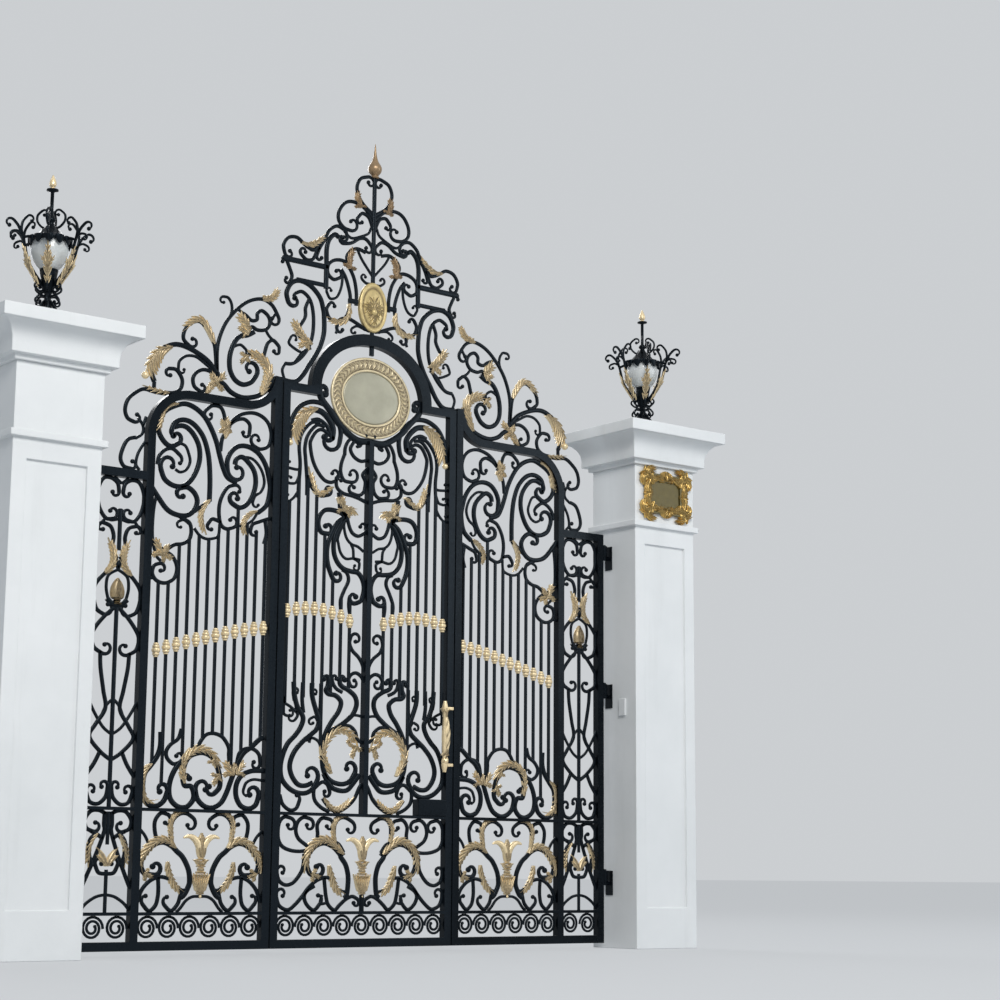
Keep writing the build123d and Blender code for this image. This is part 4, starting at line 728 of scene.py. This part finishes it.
centreGroups = {
    "centre_upper_scrolls": bothWays(medallionLoops + centreUpper),
    "centre_lower_scrolls": bothWays(centreMiddle),
    "centre_panel_scrolls": bothWays(centreLow) + centreVase,
    "centre_crest": bothWays(heldWithin(crestIron, 0, 594)) + [rail((-8, 8), (3306, 4256))],
    "centre_whorl_band": whorls(-533, 533, 9),
}
sideGroups = {
    "leaf_upper_scrolls": sideUpper,
    "leaf_lower_scrolls": sideMiddle,
    "leaf_panel_scrolls": bothWays(shifted(sideLow, sideMid), sideMid),
    "leaf_crest": heldWithin(wingIron, 601, 1674),
    "side_panel_scrolls": bothWays(shifted(sidePanel + sidePanelLow, panelMid), panelMid),
    "leaf_whorl_band": whorls(629, 1335, 6) + whorls(1379, 1638, 2),
}
for nodeName, runs in centreGroups.items():
    settled(nodeName + "_forged", forged(runs), "centre_leaf", "black_iron", [nodeName], hung)
for side in ("right", "left"):
    for nodeName, runs in sideGroups.items():
        fullName = side + "_" + nodeName
        settled(fullName + "_forged", forged(runs if side == "right" else mirrored(runs)),
                side + "_leaf", "black_iron", [fullName], hung)
print("scrolls ready")


# Carried-over iron and masonry, with softened edges

def softened(nodeName, width, body, slotName, segments=2, angle=25, **choices):
    """A copy of a CAD node with rounded edges."""
    work = bmesh.new()
    work.from_mesh(nodes[nodeName].data)
    bmesh.ops.remove_doubles(work, verts=work.verts, dist=0.00002)
    bmesh.ops.dissolve_limit(work, angle_limit=math.radians(4), verts=work.verts,
                             edges=work.edges)
    edges = [edge for edge in work.edges
             if len(edge.link_faces) == 2 and edge.calc_face_angle(0) > math.radians(angle)]
    bmesh.ops.bevel(work, geom=edges, offset=width, segments=segments, profile=0.6,
                    affect="EDGES", clamp_overlap=True)
    smoothPiece(nodeName + "_soft", work, body, slotName, [nodeName], **choices)


def smoothPiece(name, work, body, slotName, replaced=(), **choices):
    """Makes a piece of a finished bmesh, shaded smooth by the size of its faces."""
    for face in work.faces:
        face.smooth = True
        face.material_index = 0
    mesh = bpy.data.meshes.new(name)
    work.to_mesh(mesh)
    work.free()
    piece = settled(name, mesh, body, slotName, replaced, **choices)
    piece.modifiers.new("shading", "WEIGHTED_NORMAL")


for side in ("left", "right"):
    softened(side + "_pillar", 0.004, "pillars", "white_render")
    softened(side + "_pillar_cap", 0.005, "pillars", "white_render")
    softened(side + "_hinge_pins", 0.002, "pillars", "black_iron")
for side in ("left", "right", "centre"):
    softened(side + "_leaf_frame", 0.003, side + "_leaf", "black_iron")
    softened(side + "_leaf_bars", 0.002, side + "_leaf", "black_iron", segments=1)
softened("lock_box", 0.004, "centre_leaf", "black_iron")
print("frames ready")


# Turned pieces

def ringMesh(rings, closed=False):
    """A smooth skin over rings of (x, y, z, recess) in millimetres, recess being painted shade on
    gold, with flat ends unless it closes on itself."""
    work = bmesh.new()
    deepLayer = work.verts.layers.float.new("recess")
    made = []
    for ring in rings:
        made.append([work.verts.new((x * mm, y * mm, z * mm)) for x, y, z, deep in ring])
        for vert, point in zip(made[-1], ring):
            vert[deepLayer] = point[3]
    for low, high in zip(made, made[1:] + (made[:1] if closed else [])):
        for k in range(len(low)):
            work.faces.new((low[k - 1], low[k], high[k], high[k - 1]))
    if not closed:
        work.faces.new(made[0][::-1])
        work.faces.new(made[-1])
    bmesh.ops.recalc_face_normals(work, faces=work.faces)
    for face in work.faces:
        face.smooth = True
    mesh = bpy.data.meshes.new("rings")
    work.to_mesh(mesh)
    work.free()
    return mesh


def anglesOf(steps):
    return [2 * math.pi * k / steps for k in range(steps)]


def turned(profile, steps=32, lobes=0, depth=0.0, low=0.0, high=0.0):
    """A piece turned about the upright from (radius, up, recess) points in millimetres, with
    lobes that swell by depth between low and high."""
    rings = []
    for radius, up, *deep in profile:
        swells = [1.0 + depth * abs(math.cos(angle * lobes / 2)) if low <= up <= high else 1.0
                  for angle in anglesOf(steps)]
        rings.append([(radius * swell * math.cos(angle), radius * swell * math.sin(angle), up,
                       deep[0] if deep else 0.0)
                      for angle, swell in zip(anglesOf(steps), swells)])
    return ringMesh(rings)


# The third number of each point is painted shade, dark in the bead's grooves.
bead = newObject("bead", turned([
    (9.9, -37, 0.5), (12.5, -36, 0), (13.5, -32, 0), (11.5, -29, 1), (16, -27, 0.3),
    (18.2, -22, 0), (17.6, -16, 0), (14.6, -14, 1), (19.5, -11.5, 0.2), (22, -5, 0),
    (22, 3, 0), (20, 8, 0), (15.5, 10, 1), (18.6, 12.5, 0.2), (18.8, 19, 0), (16.6, 24, 0),
    (12, 26, 1), (14.2, 28.5, 0.2), (13.4, 34, 0), (9.9, 37, 0.5)], 16))


def beadRow(name, places):
    mesh = baked(runMesh([[place] for place in places], ()), beadTree, gold, Bead=bead)
    settled(name + "_collars_turned", mesh, name, "gold_paint", [name + "_collars"], hung)


# A bead on each bar, in a row that bows on the centre leaf and falls away on the side leaves
centreOuts = [510.0 - 57.0 * k for k in range(8)]
sideOuts = [1280.0 - 56.9 * k for k in range(12)]
centreBeads = [(out, 1795.0 - 0.00088 * (out - 345.0) ** 2) for out in centreOuts]
sideBeads = [(out, 1668.0 - 178.0 * ((out - 629.0) / 706.0) ** 1.3) for out in sideOuts]
beadRow("centre_leaf", centreBeads + [(-out, up) for out, up in centreBeads])
beadRow("right_leaf", sideBeads)
beadRow("left_leaf", [(-out, up) for out, up in sideBeads])
bpy.data.objects.remove(bead, do_unlink=True)
print("beads ready")


# Acanthus leaves, built up from pointed strands

def strand(points, width, high, root=0.2):
    """A pointed finger through the points, as (out, up, width, eye, half depth)."""
    run = []
    for k, point in enumerate(points):
        t = k / (len(points) - 1)
        swell = math.sin(math.pi * (root + (0.97 - root) * t)) ** 0.8
        run.append([*point, width * swell, 0.0, high * (1 - 0.55 * t ** 1.4)])
    return run


def blade(out, up, angle, long, wide, high, bend=0.0, root=0.2):
    """A single finger that turns by bend on its way."""
    points = [(out, up)]
    for k in range(6):
        angle += bend / 6
        points.append((points[-1][0] + long / 6 * math.cos(angle),
                       points[-1][1] + long / 6 * math.sin(angle)))
    return strand(points, wide, high, root)


def knob(points, radius):
    return [[[*points[0], 0.1, radius, radius * 0.9]]]


def band(points, half, thick, high):
    """A level bar as wide as twice half."""
    out, up = points[0]
    return [[[out - half, up, thick, 0.0, high], [out + half, up, thick, 0.0, high]]]


def leaf(spine, width, lobes=7, high=16.0, inner=0.3):
    """A leaf along a spine from its root to its tip: fingers that part from the rib and sweep
    forward, inner times as far on the hollow side as on the other."""
    run = smoothRun(spine, 10)
    lengths = [0.0]
    for a, b in zip(run, run[1:]):
        lengths.append(lengths[-1] + math.dist(a, b))
    total = lengths[-1]
    hollow = bendSide(run[0], run[len(run) // 2], run[-1])

    def at(share, aside=0.0):
        k = next((n for n in range(1, len(run) - 1) if lengths[n] > share * total),
                 len(run) - 1)
        heading = headingOf(run[k - 1], run[k])
        along = share * total - lengths[k - 1]
        return (run[k - 1][0] + along * math.cos(heading) - aside * math.sin(heading),
                run[k - 1][1] + along * math.sin(heading) + aside * math.cos(heading))

    strands = []
    for side in (1, -1):
        wide = width / (1 + inner) * (inner if side == hollow else 1.0)
        count = int(lobes) if wide > 0.3 * width else max(2, round(0.7 * lobes))
        for k in range(count):
            first = 0.86 * k / count
            reach = wide * math.sin(math.pi * (0.2 + 0.66 * min(1, first + 0.1))) ** 0.7
            along = min(1.5 * reach + 0.05 * total, 0.5 * total) / total
            points = [at(first + along * t / 6, side * reach * (0.04 + 0.96 * (t / 6) ** 1.4))
                      for t in range(7)]
            strands.append(strand(points, min(0.62 * total / count + 1.0, 0.6 * reach + 3.0),
                                  high * (0.94 - 0.06 * (k % 2))))
    strands.append(strand([at(1.04 * t / 9) for t in range(10)], max(0.17 * width, 12.0),
                          high * 1.12, 0.3))
    return strands


def fan(points, heading, long, count=3, spread=110.0, wide=0.5, high=17.0):
    """Small leaves that part from one point and curl away from one another."""
    (out, up), strands = points[0], []
    for k in range(int(count)):
        lean = k / (count - 1) - 0.5
        angle = math.radians(heading + spread * lean)
        reach = 0.5 * long * (1.0 - 0.6 * abs(lean))
        middle = (out + reach * math.cos(angle), up + reach * math.sin(angle))
        angle += 1.3 * lean + (0.12 if lean == 0 else 0)
        tip = (middle[0] + reach * math.cos(angle), middle[1] + reach * math.sin(angle))
        strands += leaf([(out, up), middle, tip], 2 * reach * wide, 3, high, 0.7)
    return strands


def grown(text):
    """Strands from items parted by semicolons: a kind, its out,up points and its numbers."""
    kinds = {"leaf": leaf, "fan": fan, "knob": knob, "band": band}
    strands = []
    for item in text.split(";"):
        kind, *words = item.split()
        strands += kinds[kind]([pairOf(word) for word in words if "," in word],
                               *[float(word) for word in words if "," not in word])
    return strands


def leafMesh(strands, back=0.0, both=False, material=gold):
    """The strands about the plane at -back and, for both, about the one at back too."""
    runs = [[[out, up, wide, eye, 2000.0 * deep / (wide if len(run) > 1 else 2 * deep)]
             for out, up, wide, eye, deep in run] for run in strands]
    made = [baked(runMesh(runs, ("thick", "eye", "rise"), -plane), leafTree, material,
                  Plane=plane * mm) for plane in ((-back, back) if both else (-back,))]
    return joined(made) if both else made[0]


def leafPiece(name, strands, body, replaced=(), place=hung, material=gold, **choices):
    settled(name, leafMesh(strands, material=material, **choices), body, "gold_paint",
            replaced, place, material)


up90 = math.pi / 2
vaseHalf = [
    blade(9, 486, up90 - 0.35, 112, 26, 17, 0.62), blade(4, 484, up90 - 0.05, 122, 16, 19, 0.1),
    blade(4, 452, 0.75, 46, 17, 17, -0.5), blade(4, 446, 0.2, 40, 15, 16, 0.9),
    *[blade(3 + 7 * k, 310 + 4 * k, up90 - 0.10 * k - 0.03, 92, 14, 18 - k, -0.04, 0.36)
      for k in range(4)],
    blade(4, 304, 0.5, 24, 13, 14, 0.5)]
vase = vaseHalf + mirrored(vaseHalf) + grown("""
band 0,396 33 10 19; band 0,410 22 12 17; band 0,424 13 22 15; band 0,440 19 9 17;
band 0,454 12 26 15; band 0,474 17 10 18; band 0,306 15 9 16; knob 0,292 10""")
centreLeaves = grown("""
leaf 356,2880 440,2852 488,2778 510,2694 84 8 19 2.6; knob 517,2674 17;
leaf 240,2462 317,2408 361,2440 394,2548 40 8 15 2.2; fan 158,2342 75 84 3 150;
fan 150,2346 205 62 2 50; leaf 206,2412 150,2366 84,2362 52 5;
leaf 212,930 262,1030 226,1118 150,1160 66,1122 40,1066 54 10 17 0.7; fan 60,1080 -70 66 3 150;
fan 92,1126 -95 52 2 60; leaf 256,800 217,752 167,735 111,762 68,806 38 8 15 2;
leaf 126,512 183,552 239,580 300,561 345,510 352,440 322,396 54 10 18 0.7;
fan 322,408 200 60 3 90; leaf 176,572 186,650 150,702 104,704 34 8 15 0.6;
leaf 212,452 190,400 161,340 112,308 46 6 15 0.5""")
crestLeaves = grown("""
leaf 158,3500 167,3435 219,3395 302,3402 42 7 15 0.4; leaf 476,3790 400,3802 326,3866 40 6 14 0.4;
fan 396,3796 60 34 2 60; leaf 396,3232 456,3268 516,3350 56 6 16 0.8; fan 420,3244 -30 70 3 110""")
crestSprays = grown("""
leaf 160,3700 158,3770 126,3820 46 5 15 0.8; fan 158,3704 100 62 3 130;
leaf 90,4070 112,4110 104,4160 40 4 15 0.8; fan 92,4070 80 54 3 150""")
sideLeaves = grown("""
leaf 1206,2782 1276,2740 1308,2610 42 8 15 0.35;
leaf 716,2278 768,2236 788,2190 772,2146 34 8 15 0.35;
leaf 1001,2304 1038,2236 1036,2180 1014,2128 34 8 15 0.35; fan 1262,1992 60 92 3 110;
fan 1266,2000 200 66 3 90;
leaf 1094,850 1100,950 1050,1006 985,1018 925,985 900,930 892,886 52 10 17 0.7;
fan 896,900 -60 60 3 100; fan 930,975 -70 50 2 60; fan 812,900 55 84 3 90;
fan 794,905 130 80 3 90; leaf 1284,938 1318,890 1322,812 1294,761 1246,764 44 9 15 0.35""")
flower = grown("""
leaf 918,2640 914,2690 926,2744 56 5 16 0.8; fan 918,2694 10 62 2 70; fan 918,2700 170 62 2 70;
knob 920,2704 9""")
sideLowLeaves = grown("""
leaf 150,530 200,562 262,556 316,505 344,447 322,392 52 9 17 0.7; fan 322,404 200 54 3 90;
leaf 168,560 176,652 140,700 98,702 34 8 15 0.6;
leaf 190,462 176,410 144,353 100,318 42 6 15 0.5""")
panelLeaves = grown("""
band 0,1750 22 13 18; band 0,1736 14 14 15; band 0,1723 19 9 17;
leaf 74,1868 36,1918 34,1976 60,2042 44 8 15 0.6; leaf 58,592 92,530 98,436 34 6 14 0.4""")
panelLeaves += [blade(0, 1750, up90, 100, 76, 24, 0.0, 0.3),
                blade(0, 438, up90 - 0.3, 108, 28, 15, -0.5),
                blade(8, 440, up90 - 0.55, 80, 22, 13, -0.5)]
wingLeaves = grown("""
leaf 1254,3076 1332,3044 1378,2974 1395,2918 86 7 19 2.8; knob 1398,2906 20;
leaf 1000,3134 1090,3240 1184,3176 42 8 15 0.2; leaf 1040,2862 1000,2916 960,2960 44 5 16 0.8;
fan 992,2924 140 88 3 120; fan 990,2930 10 62 2 70;
leaf 708,2902 670,3036 732,3100 814,3106 66 9 18 0.6; fan 802,3104 -50 56 3 110;
leaf 806,3212 812,3272 862,3322 62 4 16 0.9; fan 806,3224 30 56 3 130; fan 812,3262 150 46 2 60;
leaf 1262,2832 1340,2838 1406,2850 34 4 14 0.5; leaf 716,3426 650,3452 622,3506 44 6 15 0.6;
fan 690,3432 80 36 2 60""")
centreHalf = centreLeaves + crestLeaves
sideSet = (sideLeaves + flower + wingLeaves + shifted(vase, sideMid)
           + shifted(sideLowLeaves + mirrored(sideLowLeaves), sideMid)
           + shifted(panelLeaves + mirrored(panelLeaves), panelMid))
leafPiece("centre_leaf_acanthus", centreHalf + mirrored(centreHalf) + vase, "centre_leaf",
          ["centre_leaf_gilding"])
leafPiece("centre_crest_sprays", crestSprays + mirrored(crestSprays), "centre_leaf",
          material=paleBronze)
leafPiece("right_leaf_acanthus", sideSet, "right_leaf", ["right_leaf_gilding"])
leafPiece("left_leaf_acanthus", mirrored(sideSet), "left_leaf", ["left_leaf_gilding"])


def horn(points, width):
    """A smooth leaf that swells from its foot and runs out in a point."""
    run = smoothRun(points)
    return [[*point, width * math.sin(math.pi * (0.14 + 0.84 * k / len(run))) ** 0.8, 0.0]
            for k, point in enumerate(run)]


horns = [horn([(5, 478), (10, 522), (30, 566), (66, 588), (104, 580)], 30.0),
         horn([(4, 490), (14, 530), (38, 552)], 20.0)]
horns += mirrored(horns)
for side, middle in (("centre", 0), ("right", sideMid), ("left", -sideMid)):
    settled(side + "_vase_horns", forged(shifted(horns, middle), 1.0, 15.0, gold),
            side + "_leaf", "gold_paint", (), hung)
print("leaves ready")


# Medallion, cartouche, finial, handle

medallionMid, cartoucheMid, finialFoot = 2990.0, 3505.0, 4256.0
gripFoot, gripTop = 960, 1350
gripPlace = Matrix.Translation((0.496, leafPlane - 0.05, 0))


def ovalMesh(middle, front, steps, closed=False):
    """Ovals of (half width, half height, depth, recess), repeated in reverse on the back."""
    rings = front + [(wide, tall, -depth, deep) for wide, tall, depth, deep in front[::-1]]
    return ringMesh([[(wide * math.cos(angle), depth, middle + tall * math.sin(angle), deep)
                      for angle in anglesOf(steps)] for wide, tall, depth, deep in rings],
                    closed)


settled("medallion_disc_face", ovalMesh(medallionMid, [
    (60, 46, -6.4, 0), (120, 94, -6.2, 0), (176, 138, -5.8, 0), (183.5, 145.5, -4.5, 0.3)], 72),
    "centre_leaf", "champagne_sheet", ["medallion_disc"], hung)
# The last number of each ring is painted shade, dark in its grooves and at the edges of its band.
settled("medallion_ring_face", ovalMesh(medallionMid, [
    (184.5, 146.5, -4, 0.8), (188, 150, -8.4, 0.1), (194, 156, -9.2, 0), (199, 161, -6.0, 1.0),
    (212, 174, -6.8, 0.9), (225, 188, -7.6, 0.4), (238, 201, -6.8, 0.9), (251, 214, -6.0, 1.0),
    (257, 220, -8.8, 0), (264.5, 227.5, -6.0, 0.5)], 96, closed=True),
    "centre_leaf", "gold_paint", ["medallion_ring"], hung, paleGold)
laurel, laurelPairs, laurelWide, laurelTall = [], 46, 225, 188
for k in range(laurelPairs):
    angle = 2 * math.pi * (k + 0.5) / laurelPairs
    along = math.atan2(laurelTall * math.cos(angle), -laurelWide * math.sin(angle))
    place = (laurelWide * math.cos(angle), medallionMid + laurelTall * math.sin(angle))
    laurel += [blade(*place, along + 1.0, 30, 24, 5.5, -0.25, 0.36),
               blade(*place, along - 1.0, 30, 21, 5.5, 0.25, 0.36)]
leafPiece("medallion_ring_laurel", laurel, "centre_leaf", back=6.0, both=True,
          material=paleGold)

# The last number of each oval is painted shade, dark in the cartouche's sunk rings.
settled("crest_cartouche_face", ovalMesh(cartoucheMid, [
    (18, 30, -16.8, 0), (44, 72, -16.2, 0), (60, 96, -14.0, 0.1), (68, 108, -10.0, 0.9),
    (74, 116, -9.5, 0.8), (79, 124, -13.5, 0), (86, 134, -14.5, 0), (92, 141, -11.0, 0.2),
    (93.6, 143.6, -6.0, 0.6)], 64),
    "centre_leaf", "gold_paint", ["crest_cartouche"], hung, cartoucheGold)
leafPiece("crest_cartouche_relief", grown(
    "fan 0,3470 90 92 5 120 0.75 9; fan 0,3478 -90 68 3 80 0.75 9; knob 0,3476 20"),
    "centre_leaf", back=14.0, both=True, material=cartoucheGold)

finial = smoothRun([(9, 0), (18, 0.5), (24, 5), (25, 9), (18, 16), (24, 22), (34, 36), (38, 52),
                    (36, 68), (27, 85), (18, 102), (12, 122), (8, 145), (5.5, 170), (3.5, 190),
                    (1.0, 204)], 3)
settled("crest_finial_turned",
        turned([(radius, up + finialFoot) for radius, up in finial], 48, 8, 0.03,
               finialFoot + 28, finialFoot + 124),
        "centre_leaf", "gold_paint", ["crest_finial"], hung, bronze)

grip = smoothRun([(2, gripFoot), (6, 972), (10, 988), (8, 998), (17, 1006), (22, 1018), (20, 1032),
                  (12, 1044), (13, 1054), (18, 1080), (22, 1120), (24, 1160), (22, 1205),
                  (17, 1245), (12, 1272), (15, 1288), (17, 1300), (12, 1316), (7, 1334),
                  (2, gripTop)], 3)
gripRings = []
for radius, up in grip:
    part = (up - gripFoot) / (gripTop - gripFoot)
    fade = math.sin(math.pi * part) ** 0.4 if 0 < part < 1 else 0
    bow = 14.0 * math.sin(math.pi * part)
    ring = []
    for angle in anglesOf(32):
        # Painted shade lies in the flutes' troughs, through the recess number.
        flute = math.cos(4 * (angle - 3.2 * math.pi * part)) * fade
        reach = radius * (0.93 + 0.07 * flute)
        ring.append((reach * math.cos(angle) + bow, reach * math.sin(angle), up,
                     max(0.0, -flute)))
    gripRings.append(ring)
softened("pull_handle", 0.0015, "centre_leaf", "gold_paint", angle=40)
settled("pull_handle_grip", ringMesh(gripRings), "centre_leaf", "gold_paint", (), gripPlace)
leafPiece("pull_handle_leaves", grown(
    "fan 500,1262 90 76 3 24 0.26 20; fan 502,1086 -90 60 3 30 0.3 21"),
    "centre_leaf", back=50.0)
print("medallion ready")


# Lanterns, out from their own axis and up from the top of the cap

pillarMid, capTop = 1.979, 3.053
lanternRib = traced("""
20,192 42,218 84,268 122,330 138,390 150,435 172,480 196,505 >28,230 12;
146,425 156,470 150,510 128,540 >22,220 11; 150,440 176,456 200,452 >18,240 10;
98,440 120,438 146,428 12; 22,180 46,172 66,186 >18,230 10; 18,150 44,154 62,136 >18,230 10;
18,128 36,100 58,70 72,10 11""")
lanternTop = traced("14,500 46,510 70,540 70,572 48,594 >19,250 10")
lanternFoot = [(80, 0), (80, 9), (40, 16), (24, 30), (20, 50), (24, 90), (17, 120), (17, 160),
               (30, 186), (38, 235), (47, 286)]
lanternRoof = [(104, 432), (104, 445), (88, 452), (66, 466), (44, 492), (22, 514), (13, 530),
               (22, 540), (22, 551), (9, 560), (9, 690), (30, 697), (30, 703), (10, 706)]
lanternBud = smoothRun([(4, 704), (14, 708), (10, 714), (17, 726), (15, 744), (8, 765),
                        (3, 778)], 4)
lanternGlobe = smoothRun([(30, 288.5), (44, 289), (70, 318), (88, 358), (91, 395), (84, 431)],
                         4)
ribLeaf = grown("""
leaf 0,206 0,290 0,362 44 4 6 1; leaf 3,262 14,300 34,326 24 3 6 0.8;
leaf -3,262 -14,300 -34,326 24 3 6 0.8; leaf 0,300 1,350 0,392 30 3 7 1""")
ribCurve = smoothRun([(50, 205), (86, 262), (118, 320), (134, 370), (150, 402)], 3)
rimLeaf = [blade(0, 448, -up90, 44, 46, 6.0, root=0.4)]


def bulged(mesh, curve):
    """Bends a flat upright mesh outward so that it follows (radius, up) in millimetres."""
    for vert in mesh.vertices:
        up = vert.co.z / mm
        k = next((n for n in range(1, len(curve) - 1) if curve[n][1] > up), len(curve) - 1)
        (near, low), (far, high) = curve[k - 1], curve[k]
        vert.co.y -= (near + (far - near) * (up - low) / (high - low)) * mm
    return mesh


def around(mesh, count, first=0.0, material=iron):
    return baked(mesh, ringTree, material, Count=count, First=math.radians(first))


for side, out in (("right", pillarMid), ("left", -pillarMid)):
    place = Matrix.Translation((out, 0, capTop))
    parts = [around(forged(lanternRib, 1.1, 4.8), 6), around(forged(lanternTop, 1.1, 4.8), 4, 45),
             turned(lanternFoot, 40), turned(lanternRoof, 40)]
    leaves = bulged(leafMesh(ribLeaf, back=3.0), ribCurve)
    rim = leafMesh(rimLeaf, back=104.0, material=iron)
    for name, mesh, slotName, replaced in (
            ("_iron", joined(parts), "black_iron", [side + "_lantern_frame"]),
            ("_rim", around(rim, 12), "black_iron", ()),
            ("_globe_blown", turned(lanternGlobe, 48), "frosted_glass",
             [side + "_lantern_globe"]),
            ("_bud", turned(lanternBud, 24, 8, 0.12, 716, 760), "gold_paint", ()),
            ("_leaves", around(leaves, 6, 90, gold), "gold_paint", ())):
        settled(side + "_lantern" + name, mesh, "pillars", slotName, replaced, place)
print("lanterns ready")


# Number plaque, from its own middle, and bell push

plaqueQuarter = grown("""
leaf 62,108 112,102 152,130 140,158 108,146 78 6 19 0.7;
leaf 118,62 132,104 164,128 190,104 168,80 74 6 19 0.7; leaf 86,122 44,112 6,132 74 5 18 0.9;
leaf 146,92 158,44 144,0 66 5 17 0.9; knob 128,130 14; knob 176,92 13""")
plaqueHalf = plaqueQuarter + [[[out, -up, *rest] for out, up, *rest in run]
                              for run in plaqueQuarter]
plaqueHalf += grown("fan 0,98 90 62 3 130; fan 0,-98 -90 62 3 130; fan 138,0 0 50 3 120")
pillarFront, plaqueUp, boardUp = -0.19, 2.649, 2.641
shrunk = (Matrix.Translation((pillarMid, pillarFront, plaqueUp))
          @ Matrix.Diagonal((0.93, 1, 0.86, 1)))
# The board takes the near-black gold, painted shade behind the frame.
softened("number_plaque", 0.004, "pillars", "gold_paint", material=plaqueField,
         place=shrunk @ Matrix.Diagonal((0.86, 1, 0.86, 1))
         @ Matrix.Translation((-pillarMid, -pillarFront, -boardUp)))
leafPiece("number_plaque_frame", plaqueHalf + mirrored(plaqueHalf), "pillars", back=14.0,
          place=shrunk, material=oldGold)


def paddedPlate(name, low, high, edge, slotName, material=None):
    """A plate with soft edges, as for a sunk field or a bell push."""
    work = bmesh.new()
    bmesh.ops.create_cube(work, size=1.0)
    for vert in work.verts:
        vert.co = Vector(low[i] + (vert.co[i] + 0.5) * (high[i] - low[i]) for i in range(3))
    bmesh.ops.bevel(work, geom=list(work.edges), offset=edge, segments=3, profile=0.6,
                    affect="EDGES")
    smoothPiece(name, work, "pillars", slotName, material=material)


# The sunk field takes the same near-black gold as painted shade.
paddedPlate("number_plaque_field", (1.852, -0.2025, 2.561), (2.106, -0.1985, 2.737), 0.0015,
            "gold_paint", plaqueField)
paddedPlate("bell_push", (1.732, -0.105, 1.330), (1.7445, -0.050, 1.430), 0.004,
            "white_render")
print("plaque ready")


# Stage, light and camera

backdrop = (0.60, 0.62, 0.64)


def plainlySeen(tree, lit, output, kind, share=1.0):
    """Shows that share of the camera, glossy and transmission rays the plain backdrop, and
    all other rays the lit surface."""
    rays = addNode(tree, "ShaderNodeLightPath").outputs
    seen = sumOf(tree, "MAXIMUM", rays["Is Camera Ray"], rays["Is Glossy Ray"])
    seen = sumOf(tree, "MAXIMUM", seen, rays["Is Transmission Ray"])
    feed(tree, addNode(tree, "ShaderNodeMixShader", sumOf(tree, "MULTIPLY", seen, share), lit,
                       addNode(tree, kind, Color=backdrop, Strength=1.0)),
         output.inputs["Surface"])


def bareFloor(tree):
    return {"Base Color": backdrop, "Roughness": 0.9}


floor = bpy.data.meshes.new("floor")
floor.from_pydata([(-400, -400, 0), (400, -400, 0), (400, 400, 0), (-400, 400, 0)], [],
                  [(0, 1, 2, 3)])
floor.materials.append(newMaterial("paleFloor", bareFloor))
tree = floor.materials[0].node_tree
plainlySeen(tree, tree.nodes["Principled BSDF"], tree.nodes["Material Output"],
            "ShaderNodeEmission", 0.75)
newObject("floor", floor)

scene.world = bpy.data.worlds.new("sky")
scene.world.use_nodes = True
tree = scene.world.node_tree
sky = tree.nodes["Background"]
feed(tree, (0.82, 0.88, 0.95), sky.inputs["Color"])
feed(tree, 0.5, sky.inputs["Strength"])
plainlySeen(tree, sky, tree.nodes["World Output"], "ShaderNodeBackground")


def posed(name, content, place, turn):
    """Links a lamp or camera at a place, turned by a quaternion."""
    holder = newObject(name, content)
    holder.rotation_mode = "QUATERNION"
    holder.location = place
    holder.rotation_quaternion = turn
    return holder


def areaLight(name, place, target, size, power, colour=(1, 1, 1)):
    light = bpy.data.lights.new(name, "AREA")
    light.shape = "SQUARE"
    light.size = size
    light.energy = power
    light.color = colour
    posed(name, light, place, (Vector(target) - Vector(place)).to_track_quat("-Z", "Y"))


areaLight("key", (-4, -10, 9), (0, 0, 2), 4, 1000, (1.0, 0.98, 0.95))
areaLight("fill", (8, -7, 5), (0, 0, 2), 5, 200, (0.92, 0.96, 1.0))
areaLight("rim", (2, 9, 8), (0, 0, 2.5), 5, 450)

camera = bpy.data.cameras.new("camera")
camera.sensor_width = 36
camera.lens = 75.6
aim = Matrix.Identity(4)
for degrees, axis in ((-38.29, "Z"), (100.18, "X"), (0.42, "Z")):
    aim = aim @ Matrix.Rotation(math.radians(degrees), 4, axis)
scene.camera = posed("camera", camera, (-6.439, -9.268, 0.398), aim.to_quaternion())
scene.view_settings.view_transform = "Standard"
